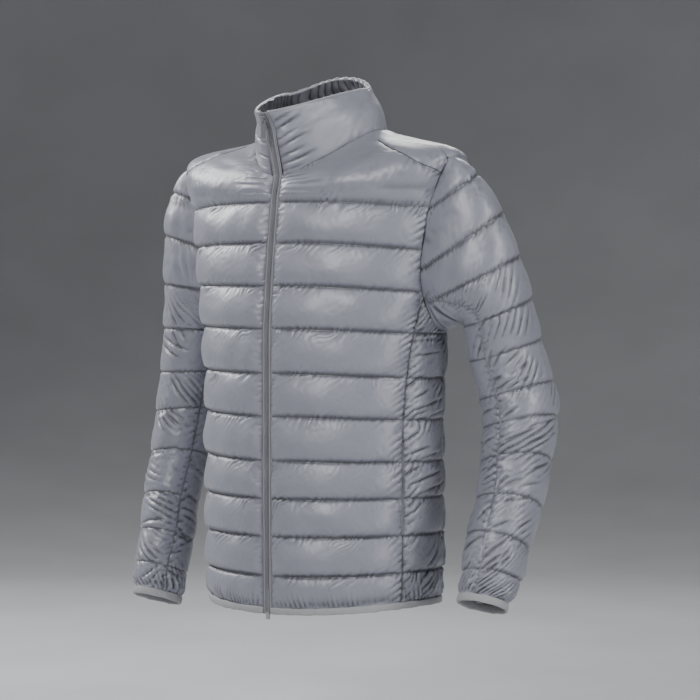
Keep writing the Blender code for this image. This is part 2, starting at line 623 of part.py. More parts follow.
def make_collar():
    """The stand collar: an outside layer, and the gathered inside layer behind it."""
    top = len(COLLAR_RINGS) - 1
    edge = math.degrees(math.asin((ZIP_EDGE + SEAM) / COLLAR["half_width"][-1]))

    def middle(a, r):
        return collar_point(a, r) * (0, 0.3, 1)

    def layer(name, columns, rows, inner_rows, outside, thickness, puff, colour):
        angles = np.linspace(edge, 360 - edge, columns)

        def grid(places, depth, lift):
            angle, ring = np.meshgrid(angles, places)
            points = collar_point(angle, ring)
            normal = normals(collar_point, angle, np.clip(ring, 0.02, top - 0.02), 0.5, 0.02, middle)
            near = np.minimum(ring, top - ring) * COLLAR_RING_HEIGHT
            swell = lift * (1 - np.exp(-near / COLLAR_FADE))
            return points + (swell - depth)[..., None] * normal

        inner = grid(inner_rows, outside + thickness, 0.0)
        wall(name, grid(rows, outside, puff), rows, inner, inner_rows, colour)

    rows = np.linspace(COLLAR_FOOT_GAP, top, 9)
    inner_rows = np.linspace(COLLAR_FOOT_GAP, top, 5)
    layer("collar", 37, rows, inner_rows, 0.0, WALL, COLLAR_PUFF, CLOTH)
    layer("collar_inner", 37, inner_rows, inner_rows, WALL + SEAM, LINING_THICK, 0.0, CLOTH_DARK)


def front_line(start, body_count=34, collar_count=9):
    """Points of the centre front from a ring of the body to the collar's top, with outward normals."""
    body = body_point(np.zeros(body_count), np.linspace(start, NECKLINE, body_count))
    collar_rows = np.linspace(0, len(COLLAR_RINGS) - 1, collar_count)[1:]
    points = np.concatenate([body, collar_point(np.zeros(collar_count - 1), collar_rows)])
    along = unit(np.gradient(points, axis=0))
    return points, np.stack([0 * along[:, 0], -along[:, 2], along[:, 1]], axis=1)


def bar(name, rings, colour):
    """A closed bar through rings of four corners each."""
    last = 4 * (len(rings) - 1)
    faces = [
        (i + k, i + (k + 1) % 4, i + 4 + (k + 1) % 4, i + 4 + k)
        for i in range(0, last, 4)
        for k in range(4)
    ]
    faces += [(3, 2, 1, 0), tuple(last + k for k in range(4))]
    return finish_object(name, rings.reshape(-1, 3), faces, colour)


def make_strip(name, x_low, x_high, depth_low, depth_high, colour, start=0.0):
    """A flat strip along the centre front, between two places across and two depths."""
    points, outward = front_line(start)
    corners = ((x_low, depth_low), (x_high, depth_low), (x_high, depth_high), (x_low, depth_high))
    rings = np.stack([points + np.array([x, 0, 0]) + d * outward for x, d in corners], axis=1)
    return bar(name, rings, colour)


def in_no_collection(made):
    for collection in list(made.users_collection):
        collection.objects.unlink(made)
    return made


def make_box(name, centre, size, turn_x=0.0):
    """A box as a mesh object, for the small hard pieces."""
    bpy.ops.mesh.primitive_cube_add(size=1.0, location=centre, rotation=(turn_x, 0.0, 0.0), scale=size)
    made = bpy.context.active_object
    made.name = name
    bpy.ops.object.transform_apply(location=False, rotation=False, scale=True)
    return in_no_collection(made)


def make_pin(name, centre, radius, length):
    """A round pin that lies from side to side."""
    bpy.ops.mesh.primitive_cylinder_add(
        vertices=PIN_SIDES, radius=radius, depth=length, location=centre, rotation=(0.0, math.pi / 2, 0.0)
    )
    made = bpy.context.active_object
    made.name = name
    return in_no_collection(made)


def combine(name, base, steps, colour, roughness, metallic):
    """A body to which others are joined, or from which they are cut, one after another."""
    PARTS.objects.link(base)
    for operation, other in steps:
        CUTTERS.objects.link(other)
        other.hide_render = True
        other.display_type = "WIRE"
        step = base.modifiers.new(operation.lower(), "BOOLEAN")
        step.operation = operation
        step.solver = "EXACT"
        step.object = other
    base.name = name
    return paint(base, colour, roughness, metallic)


SLIDER_ROW = 3.62  # the collar ring at which the slider stands
SLIDER_SIZE = (0.0090, 0.0016, 0.0105)
SLIDER_LIFT = 0.0006  # between chain and slider plate, beside the seam gap
LUG_SIZE = (0.0022, 0.0038, 0.0046)
LUG_SUNK = 0.0004  # how far the lug reaches into the plate
PIN_SIDES = 16
PIN_RADIUS = 0.0004
PIN_HOLE = 0.0007
PIN_DEPTH = 0.0014  # of the pin's middle behind the lug's front
PULL_WIDTH = 0.0072
PULL_LENGTH = 0.0210
PULL_THICK = 0.0014
PULL_TOP = 0.0036  # from the pin down to the pull's tab
EAR_TOP = 0.0011  # from the pin up to the end of each ear
EAR_LAP = 0.0003  # how far the ears reach into the tab
CHAIN_FRONT = 0.0013  # the chain's front, outside the centre front line
CHAIN_START = 0.05  # the body's ring at which the chain starts
BOX_HEIGHT = 0.0100
BOX_DEEP = 0.0030


def make_zip():
    make_strip("zip_tape_left", TAPE_INNER, ZIP_EDGE, -TAPE_THICK / 2, TAPE_THICK / 2, CLOTH_DARK)
    make_strip("zip_tape_right", -ZIP_EDGE, -TAPE_INNER, -TAPE_THICK / 2, TAPE_THICK / 2, CLOTH_DARK)
    chain_low = CHAIN_FRONT - CHAIN_THICK
    make_strip("zip_chain", -CHAIN_HALF, CHAIN_HALF, chain_low, CHAIN_FRONT, CLOTH_DARK, CHAIN_START)


def make_slider():
    """The slider with its lug, and the pull, whose pin turns in the lug's hole."""
    row = np.array([SLIDER_ROW, SLIDER_ROW - 0.05, SLIDER_ROW + 0.05])
    here, below, above = collar_point(np.zeros(3), row)
    along = unit(above - below)
    outward = np.array([0.0, -along[2], along[1]])
    lean = math.atan2(-along[1], along[2])
    plate_at = here + outward * (CHAIN_FRONT + SEAM + SLIDER_LIFT + SLIDER_SIZE[1] / 2)
    lug_at = plate_at + outward * ((SLIDER_SIZE[1] + LUG_SIZE[1]) / 2 - LUG_SUNK)
    pivot = lug_at + outward * (LUG_SIZE[1] / 2 - PIN_DEPTH)
    plate = make_box("zip_slider", plate_at, SLIDER_SIZE, lean)
    lug = make_box("slider_lug", lug_at, LUG_SIZE, lean)
    hole = make_pin("lug_hole", pivot, PIN_HOLE, 2 * LUG_SIZE[0])
    combine("zip_slider", plate, (("UNION", lug), ("DIFFERENCE", hole)), METAL, 0.35, 0.9)

    hinge = bpy.data.objects.new("pull_hinge", None)
    hinge.location = pivot
    PARTS.objects.link(hinge)
    ear = (PULL_WIDTH - LUG_SIZE[0]) / 2 - SEAM
    ear_x = LUG_SIZE[0] / 2 + SEAM + ear / 2
    ear_length = EAR_TOP + PULL_TOP + EAR_LAP
    ear_z = EAR_TOP - ear_length / 2
    ears = [make_box("ear", (side * ear_x, 0, ear_z), (ear, PULL_THICK, ear_length)) for side in (1, -1)]
    tab = make_box("zip_pull", (0, 0, -PULL_TOP - PULL_LENGTH / 2), (PULL_WIDTH, PULL_THICK, PULL_LENGTH))
    pin = make_pin("pull_pin", (0, 0, 0), PIN_RADIUS, LUG_SIZE[0] + 2 * SEAM + ear)
    joined = (*ears, pin)
    combine("zip_pull", tab, [("UNION", piece) for piece in joined], METAL, 0.35, 0.9)
    for piece in (tab, *joined):
        piece.parent = hinge


def make_zip_box():
    """The small box at the foot of the zip, which stands a little below the hem."""
    top = body_point(np.zeros(1), np.full(1, CHAIN_START))[0]
    size = (2 * CHAIN_HALF, BOX_DEEP, BOX_HEIGHT)
    made = make_box("zip_box", top - np.array([0.0, 0.0, SEAM + BOX_HEIGHT / 2]), size)
    PARTS.objects.link(made)
    paint(made, METAL, 0.35, 0.9)


def make_pocket_zips():
    """A closed zip in each side seam, in a slit as wide as itself."""
    for name, side in (("pocket_zip_left", 1), ("pocket_zip_right", -1)):
        ring = np.linspace(POCKET_LOW + POCKET_END, POCKET_HIGH - POCKET_END, 11)
        angle = side_seam(ring, side)
        points = body_point(side * angle, ring)
        normal = body_normals(side * angle, ring)
        across = unit(body_point(side * angle + 0.5, ring) - body_point(side * angle - 0.5, ring))
        corners = ((-1, -1), (1, -1), (1, 0), (-1, 0))
        reach = [(x * POCKET_HALF, d * POCKET_THICK) for x, d in corners]
        rings = np.stack([points + x * across + d * normal for x, d in reach], axis=1)
        bar(name, rings, CLOTH_DARK)


# ---------------------------------------------------------------- the whole jacket
for old in list(bpy.data.objects):
    bpy.data.objects.remove(old)
PARTS = bpy.data.collections.new("puffer_jacket")
CUTTERS = bpy.data.collections.new("cutters")
for group in (PARTS, CUTTERS):
    bpy.context.scene.collection.children.link(group)

make_fronts()
make_back()
make_sides()
make_sleeve("sleeve_left", LEFT_SLEEVE, 1)
make_sleeve("sleeve_right", RIGHT_SLEEVE, -1)
make_hem_binding()
make_collar()
make_zip()
make_slider()
make_zip_box()
make_pocket_zips()
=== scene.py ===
"""A quilted puffer jacket's look: panels swelled by a cloth simulation, puckered seams, creases and zip."""

import math

import bpy
import numpy as np
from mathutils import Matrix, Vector


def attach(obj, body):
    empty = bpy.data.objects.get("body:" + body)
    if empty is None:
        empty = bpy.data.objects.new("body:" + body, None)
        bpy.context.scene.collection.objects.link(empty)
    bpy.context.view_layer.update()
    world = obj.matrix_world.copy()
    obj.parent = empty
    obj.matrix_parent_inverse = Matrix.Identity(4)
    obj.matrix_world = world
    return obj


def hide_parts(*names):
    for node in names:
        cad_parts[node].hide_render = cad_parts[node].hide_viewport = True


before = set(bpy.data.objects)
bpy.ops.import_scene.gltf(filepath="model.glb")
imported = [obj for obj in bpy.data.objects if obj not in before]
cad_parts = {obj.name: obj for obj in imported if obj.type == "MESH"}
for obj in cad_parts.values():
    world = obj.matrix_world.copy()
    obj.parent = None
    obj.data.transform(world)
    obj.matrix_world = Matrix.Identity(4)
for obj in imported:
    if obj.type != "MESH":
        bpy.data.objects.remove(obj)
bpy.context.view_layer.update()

# ---------------------------------------------------------------- sizes, in metres and degrees
HELD_HEIGHT = 0.655  # the origin above the hem
SEAM = 0.0003
WALL = 0.0025
HEM_BINDING = 0.0090
CUFF_BINDING = 0.0110
ZIP_EDGE = 0.0070
TAPE_INNER = 0.0029
POCKET_LOW = 2.0
POCKET_HIGH = 4.5
POCKET_HALF = 0.0028
POCKET_SHOWN = 0.0013  # half of what shows between the seam's edges
FINE = 0.0020  # spacing of a panel's grid
BACK_FINE = 0.0024
THINNEST = 0.0011  # least wall left under a crease
SIM_FRAMES = 26
# how far the filling raises a channel, by kind of panel
LIFT = {"front": 0.0092, "back": 0.0092, "side": 0.0062, "sleeve": 0.0038, "collar": 0.0030}
SEAM_TWIST = {1: 8.0, -1: 26.0}
FRONT_SEAM_PHI = 128.0
BACK_SEAM_PHI = 238.0

# The body's rings from the hem up: heights at centre front, left side, right side and centre back, half
# width, depth before and behind the sides, and how pointed the front is.
BODY_RINGS = np.array([
    (0.006, 0.018, 0.012, 0.010, 0.179, 0.1340, 0.127, 1.0),  # hem
    (0.060, 0.068, 0.062, 0.063, 0.1825, 0.1355, 0.130, 1.0),  # quilting lines 10 to 1
    (0.115, 0.119, 0.113, 0.115, 0.1835, 0.1360, 0.131, 1.0),
    (0.168, 0.170, 0.169, 0.168, 0.1840, 0.1365, 0.131, 1.0),
    (0.221, 0.220, 0.226, 0.222, 0.1840, 0.1365, 0.130, 1.0),
    (0.283, 0.278, 0.287, 0.283, 0.1840, 0.1365, 0.130, 1.0),
    (0.343, 0.336, 0.346, 0.343, 0.1855, 0.1365, 0.132, 1.0),
    (0.405, 0.398, 0.408, 0.405, 0.1905, 0.1362, 0.135, 1.0),
    (0.465, 0.455, 0.467, 0.465, 0.2000, 0.1318, 0.137, 1.0),
    (0.525, 0.512, 0.521, 0.525, 0.2095, 0.1260, 0.134, 1.0),
    (0.582, 0.571, 0.575, 0.582, 0.2180, 0.1190, 0.125, 1.0),
    (0.592, 0.611, 0.613, 0.612, 0.2270, 0.1172, 0.118, 1.0),  # yoke
    (0.600, 0.637, 0.639, 0.636, 0.2300, 0.1155, 0.110, 1.0),  # shoulder
    (0.606, 0.6500, 0.6505, 0.654, 0.2050, 0.1140, 0.100, 1.0),
    (0.612, 0.6600, 0.6605, 0.670, 0.1620, 0.1128, 0.090, 1.0),
    (0.6165, 0.6700, 0.6700, 0.683, 0.1215, 0.1120, 0.079, 1.15),
    (0.620, 0.6850, 0.6850, 0.694, 0.0967, 0.1115, 0.0682, 1.3),  # neckline
])
COLLAR_RINGS = np.array([
    (0.6204, 0.6854, 0.6854, 0.6944, 0.0965, 0.1116, 0.0680, 1.30),
    (0.6420, 0.7010, 0.7010, 0.7130, 0.0915, 0.1172, 0.0660, 1.35),
    (0.6640, 0.7170, 0.7170, 0.7320, 0.0850, 0.1240, 0.0610, 1.40),
    (0.6850, 0.7315, 0.7315, 0.7500, 0.0775, 0.1300, 0.0540, 1.50),
    (0.7050, 0.7450, 0.7450, 0.7670, 0.0715, 0.1460, 0.0470, 1.60),
])
LINE_1, SHOULDER, NECKLINE = 10, 12, 16
LAST_SIDE_LINE = 6
HEM_RISE = 0.054  # from the hem's ring up to the first quilting line, at centre front
HEM_ROW = HEM_BINDING / HEM_RISE
SIDE_SEAM_HEIGHT = (0.0, 0.28, 0.34, 0.40, 0.45)
SIDE_SEAM_ANGLE = (68.5, 68.5, 70.5, 72.7, 76.0)
SIDE_SEAM_TOP = 0.446
SIDE_CORNER = 0.78  # beyond this share of the armhole's bottom the side panel's top runs level
UNDERARM_GAP = 0.025  # the side panel stops this far below the armhole, in rings
BACK_SEAM_HEIGHT = (0.0, 0.34, 0.40, 0.446)
BACK_SEAM_ANGLE = (111.0, 111.0, 109.7, 107.18)
SHOULDER_ARMHOLE, SHOULDER_NECK = 77.0, 72.0
SHOULDER_RUN_FRONT, SHOULDER_RUN_BACK = 0.6, 0.25  # where the seam turns, in rings below the shoulder's
ARMHOLE_FRONT, ARMHOLE_BACK, ARMHOLE_TOP, ARMHOLE_BOTTOM = 70.5, 111.0, 80.0, 95.0
ARMHOLE_MID, ARMHOLE_HALF = 0.5215, 0.1165

# The sleeves' quilting loops: middle, half sizes across and deep, outer rise and front rise.
LEFT_SLEEVE = np.array([
    (0.236, 0.005, 0.528, 0.0600, 0.0690, 35.0, 0.0),
    (0.266, 0.012, 0.481, 0.0530, 0.0650, 27.0, 0.0),
    (0.281, 0.020, 0.427, 0.0500, 0.0610, 23.0, -2.0),
    (0.286, 0.030, 0.376, 0.0515, 0.0580, 18.0, -2.0),
    (0.301, 0.035, 0.320, 0.0515, 0.0570, 15.0, 4.0),
    (0.311, 0.030, 0.276, 0.0515, 0.0570, 10.0, 10.0),
    (0.315, 0.012, 0.224, 0.0480, 0.0540, 3.0, 16.0),
    (0.322, -0.015, 0.168, 0.0440, 0.0500, -8.0, 20.0),
    (0.320, -0.040, 0.118, 0.0420, 0.0460, -15.0, 20.0),
    (0.323, -0.060, 0.073, 0.0390, 0.0420, -12.0, 18.0),
    (0.319, -0.073, 0.043, 0.0332, 0.0370, -13.0, 16.0),
])
RIGHT_SLEEVE = np.array([
    (-0.232, 0.012, 0.521, 0.0550, 0.0690, 20.0, 0.0),
    (-0.250, 0.020, 0.461, 0.0510, 0.0630, 10.0, 0.0),
    (-0.261, 0.026, 0.401, 0.0470, 0.0590, 3.0, 0.0),
    (-0.270, 0.028, 0.337, 0.0460, 0.0570, 0.0, 2.0),
    (-0.278, 0.025, 0.279, 0.0455, 0.0550, -2.0, 6.0),
    (-0.280, 0.012, 0.213, 0.0435, 0.0520, 4.0, 12.0),
    (-0.281, -0.008, 0.147, 0.0405, 0.0480, 11.0, 15.0),
    (-0.274, -0.027, 0.094, 0.0395, 0.0450, 13.0, 15.0),
    (-0.272, -0.043, 0.046, 0.0380, 0.0420, 14.0, 14.0),
    (-0.269, -0.054, 0.011, 0.0350, 0.0380, 13.0, 13.0),
])
SLEEVE_TURN = math.radians(36.0)
CAP_LINES = 2
CAP_LINE_SPACING = 0.062
CAP_LEAVES = (0.88, -0.35)  # how the cap leaves the armhole, outwards and down
CAP_SPREAD = 0.25  # how far its front and back lean forward and back there
INNER_PLACES = (0, 1, 5)  # the filling is pressed flatter on a sleeve's inner side, at these places
INNER_PRESSED = (0.75, 0.75, 0.6, 0.2)
METRES_A_DEGREE = 0.0009  # round a sleeve
ARMHOLE_FADE = 0.08  # how soon the filling rises from the armhole


# ---------------------------------------------------------------- curves
def smooth(values, at):
    """Catmull-Rom curve through evenly spaced rows of values, read at fractional row numbers."""
    values = np.asarray(values, float)
    last = len(values) - 1
    padded = np.concatenate([[2 * values[0] - values[1]], values, [2 * values[-1] - values[-2]]])
    at = np.clip(at, 0, last)
    i = np.minimum(at.astype(int), last - 1)
    t = (at - i).reshape(at.shape + (1,) * (values.ndim - 1))
    a, b, c, d = padded[i], padded[i + 1], padded[i + 2], padded[i + 3]
    return 0.5 * (
        2 * b + (c - a) * t + (2 * a - 5 * b + 4 * c - d) * t**2 + (3 * b - a - 3 * c + d) * t**3
    )


def unit(v):
    return v / np.maximum(np.linalg.norm(v, axis=-1, keepdims=True), 1e-12)


def ring_point(rings, angle, ring):
    """Elliptic rings: across = half width times sine, depth = depth times cosine to a power before the
    sides, height = middle height plus (side - middle) times sine squared."""
    angle, ring = np.broadcast_arrays(np.asarray(angle, float), np.asarray(ring, float))
    front, left, right, back, half, before, behind, point = np.moveaxis(smooth(rings, ring), -1, 0)
    s, c = np.sin(np.radians(angle)), np.cos(np.radians(angle))
    side = np.where(s >= 0, left, right)
    middle = np.where(c >= 0, front, back)
    depth = np.where(c >= 0, -before * np.abs(c) ** point, -behind * c)
    return np.stack([half * s, depth, middle + (side - middle) * s**2 - HELD_HEIGHT], axis=-1)


def body_point(angle, ring):
    return ring_point(BODY_RINGS, angle, ring)


def collar_point(angle, ring):
    return ring_point(COLLAR_RINGS, angle, ring)


def normals(surface, u, v, step_u, step_v, middle):
    """Cross product of a surface's two differences, turned away from the middle line."""
    across = surface(u + step_u, v) - surface(u - step_u, v)
    along = surface(u, v + step_v) - surface(u, v - step_v)
    normal = unit(np.cross(across, along))
    return normal * np.where((normal * (surface(u, v) - middle(u, v))).sum(-1, keepdims=True) < 0, -1.0, 1.0)


def body_normals(angle, ring):
    chest = 0.60 - HELD_HEIGHT

    def middle(a, r):
        p = body_point(a, r)
        low = np.minimum(p[..., 2], chest) - 0.05 * (p[..., 2] > chest)
        return np.stack([p[..., 0] * 0.4, p[..., 1] * 0.2, low], axis=-1)

    return normals(body_point, angle, np.clip(ring, 0.01, NECKLINE - 0.01), 0.2, 0.01, middle)


def collar_normals(angle, ring):
    top = len(COLLAR_RINGS) - 1
    inside = np.clip(ring, 0.02, top - 0.02)
    return normals(collar_point, angle, inside, 0.5, 0.02, lambda a, r: collar_point(a, r) * (0, 0.3, 1))


def degrees_of(length, ring, angle):
    return length / np.linalg.norm(body_point(angle + 0.5, ring) - body_point(angle - 0.5, ring), axis=-1)


def side_seam(ring, side):
    """Angle of the front panel's outer edge: the side seam, then the armhole, then the shoulder seam."""
    angle = np.full(np.shape(ring), SIDE_SEAM_ANGLE[0], float)
    for _ in range(8):
        height = body_point(side * angle, ring)[..., 2] + HELD_HEIGHT
        share = np.clip((height - ARMHOLE_MID) / ARMHOLE_HALF, -1, 1)
        far = np.where(share > 0, ARMHOLE_TOP, ARMHOLE_BOTTOM)
        hole = far - (far - ARMHOLE_FRONT) * np.sqrt(1 - share**2)
        below = np.interp(height, SIDE_SEAM_HEIGHT, SIDE_SEAM_ANGLE)
        angle = np.where(height < SIDE_SEAM_TOP, below, hole)
    start = SHOULDER - SHOULDER_RUN_FRONT
    share = np.clip((ring - start) / (NECKLINE - start), 0, 1)
    shoulder = SHOULDER_ARMHOLE + (SHOULDER_NECK - SHOULDER_ARMHOLE) * share
    return np.where((angle > shoulder) & (ring > LINE_1), shoulder, angle)


def back_edge(ring, side):
    """Angle of the back's edge: side seam, armhole, and the shoulder seam on top."""
    angle = np.full(np.shape(ring), BACK_SEAM_ANGLE[0], float)
    for _ in range(12):
        height = body_point(side * angle, ring)[..., 2] + HELD_HEIGHT
        below = np.interp(height, BACK_SEAM_HEIGHT, BACK_SEAM_ANGLE)
        share = np.clip((height - ARMHOLE_MID) / ARMHOLE_HALF, -1, 1)
        near = np.where(share > 0, ARMHOLE_TOP, ARMHOLE_BOTTOM)
        hole = near + (ARMHOLE_BACK - near) * np.sqrt(1 - share**2)
        angle = 0.5 * angle + 0.5 * np.where(height < SIDE_SEAM_TOP, below, hole)
    share = np.clip((ring - SHOULDER) / (NECKLINE - SHOULDER), 0, 1)
    shoulder = SHOULDER_ARMHOLE + (SHOULDER_NECK - SHOULDER_ARMHOLE) * share
    blend = np.clip(1 + (ring - SHOULDER) / SHOULDER_RUN_BACK, 0, 1)
    return np.where(ring >= SHOULDER, shoulder, angle * (1 - blend) + shoulder * blend)


def half_gap(ring):
    inside = (ring > POCKET_LOW - 0.01) & (ring < POCKET_HIGH + 0.01)
    return np.where(inside, POCKET_SHOWN, SEAM / 2)


def ring_at_height(angle, height, side):
    rings = np.linspace(0, NECKLINE, 400)
    flat = np.broadcast(np.ravel(angle), np.ravel(height))
    found = [np.interp(h, body_point(side * a, rings)[:, 2] + HELD_HEIGHT, rings) for a, h in flat]
    return np.array(found).reshape(np.shape(angle))


# ---------------------------------------------------------------- noise
def waves(x, y, seed, short, long, lean=0.0, spread=math.pi, count=24):
    """A sum of cosines with seeded phases, wavelengths from short to long and directions about lean."""
    rng = np.random.default_rng(seed)
    total = np.zeros(np.broadcast(x, y).shape)
    for _ in range(count):
        k = 2 * math.pi / rng.uniform(short, long)
        direction = lean + rng.uniform(-0.5, 0.5) * spread
        total += np.cos(k * (x * math.cos(direction) + y * math.sin(direction)) + rng.uniform(0, 2 * math.pi))
    return total / math.sqrt(count / 2)


def line_waves(x, line, seed, short, long, count=7):
    """Waves along x whose phases differ from one seam to the next."""
    rng = np.random.default_rng(seed)
    lines = int(line.max()) + 2
    total = np.zeros(x.shape)
    for _ in range(count):
        k = 2 * math.pi / rng.uniform(short, long)
        total += np.cos(k * x + rng.uniform(0, 2 * math.pi, lines)[line])
    return total / math.sqrt(count / 2)


# ---------------------------------------------------------------- panels as grids
def metric(points):
    """Lengths along the rows and up the columns of a grid of points."""
    along, up = (np.linalg.norm(np.diff(points, axis=axis), axis=2) for axis in (1, 0))
    x = np.concatenate([np.zeros((len(points), 1)), np.cumsum(along, axis=1)], axis=1)
    y = np.concatenate([np.zeros((1, points.shape[1])), np.cumsum(up, axis=0)])
    return x, y


def rows_on(lines, height, spacing=FINE):
    """Row places with an even count between each two lines, about spacing apart."""
    rows = []
    for a, b, h in zip(lines[:-1], lines[1:], height):
        count = max(4, 2 * round(h / spacing / 2))
        rows.append(a + (b - a) * np.arange(count) / count)
    return np.concatenate([*rows, [lines[-1]]])


def odd(count):
    return int(count) // 2 * 2 + 1


class Panel:
    """A quilted piece: a base grid, its outward normals and the quilting number, whole on a line."""

    def __init__(self, name, points, normal, quilt, press=None):
        self.name, self.points, self.normal, self.quilt = name, points, normal, quilt
        self.x, self.y = metric(points)
        self.lift = LIFT[name.split("_")[0]]
        self.press = np.ones(quilt.shape) if press is None else press
        gy = np.gradient(quilt, axis=0) / np.maximum(np.gradient(self.y, axis=0), 1e-6)
        gx = np.gradient(quilt, axis=1) / np.maximum(np.gradient(self.x, axis=1), 1e-6)
        self.line = np.round(quilt).astype(int)
        self.line -= self.line.min()
        self.steep = np.maximum(np.hypot(gx, gy), 4.0)
        self.near = np.clip((quilt - np.round(quilt)) / self.steep, -0.03, 0.03)
        self.edge = np.minimum(self.x, self.x[:, -1:] - self.x)
        # the filling lies low in each channel; down a sleeve the quilting numbers rise
        self.up = -1 if name.startswith("sleeve") else 1
        t = quilt - np.floor(quilt)
        low = t ** np.where(quilt < 1, 0.95, 0.64) if self.up > 0 else 1 - (1 - t) ** 0.64
        self.round = np.sin(math.pi * low) ** 0.7
        # how far the elastic band at the piece's lower end is
        self.from_band = self.y if self.up > 0 else self.y[-1] - self.y
        self.free = np.ones(quilt.shape)
        if name != "collar":
            self.free = 1 - np.exp(-((self.from_band / 0.007) ** 2))
            self.round = self.round * self.free
        if self.up > 0 and name != "collar":
            self.round = self.round * np.clip(0.55 + 0.45 * quilt, 0, 1)
        if name == "back":
            self.round = self.round * (1 - 0.45 * np.exp(-((self.edge / 0.05) ** 2)))
        self.at_join = np.zeros(quilt.shape)
        self.offset = None

    def swell(self):
        """How round each channel is: sine to a power between lines, less towards the side edges."""
        return self.round * (1 - np.exp(-self.edge / 0.010)) * self.press

    def join_over_shoulder(self, ring, sides):
        """Lets the filling run on over the shoulder, where front and back are one smooth form."""
        runs_on = np.clip((ring - SHOULDER + 0.35) / 0.35, 0, 1)
        whole = np.sin(math.pi * np.clip((ring - LINE_1) / (NECKLINE - LINE_1), 0, 1)) ** 0.7
        first, last = self.x, self.x[:, -1:] - self.x
        for side in sides:
            away = last if side else first
            share = runs_on * np.exp(-((away / 0.035) ** 2))
            self.round = self.round * (1 - share) + whole * share
            self.near = np.where(share > 0.3, 0.03, self.near)
            self.at_join = np.maximum(self.at_join, runs_on * np.exp(-((away / 0.012) ** 2)))
        first = first + 0.06 * runs_on * (0 in sides)
        last = last + 0.06 * runs_on * (1 in sides)
        holes = np.concatenate([armhole(np.arange(0.0, 360.0, 4.0), side) for side in (1, -1)])
        high = ring[:, 0] > LINE_1 - 1
        from_hole = np.full(ring.shape, 0.1)
        from_hole[high] = np.linalg.norm(self.points[high][:, :, None] - holes, axis=-1).min(-1)
        self.edge = np.minimum(np.minimum(first, last), from_hole)
        return self


def over_shoulder(points):
    """Lifts the two shoulder points, by a Gaussian of the distance to them, on all pieces that meet there."""
    for side in (1, -1):
        corner = body_point(side * (SHOULDER_ARMHOLE + 6), SHOULDER)
        apart = np.linalg.norm(points - corner, axis=-1, keepdims=True)
        points = points + 0.0060 * np.exp(-((apart / 0.045) ** 2)) * unit(np.array([side * 0.5, 0.0, 0.87]))
    return points


def body_piece(name, lines, heights, first_edge, second_edge, columns, spacing):
    """A panel of the body between two edges, each a function that gives its angle at every row."""
    lines = (HEM_ROW, *lines[1:])
    rows = rows_on(lines, heights, spacing)
    share = np.linspace(0, 1, odd(columns))
    first, second = first_edge(rows), second_edge(rows)
    angle = first[:, None] + (second - first)[:, None] * share
    ring = np.broadcast_to(rows[:, None], angle.shape)
    quilt = np.interp(ring, lines, np.arange(len(lines)))
    quilt[0], quilt[-1] = 0, len(lines) - 1
    panel = Panel(name, over_shoulder(body_point(angle, ring)), body_normals(angle, ring), quilt)
    panel.angle, panel.ring = angle, ring
    return panel.join_over_shoulder(ring, (0, 1) if name == "back" else (1,))


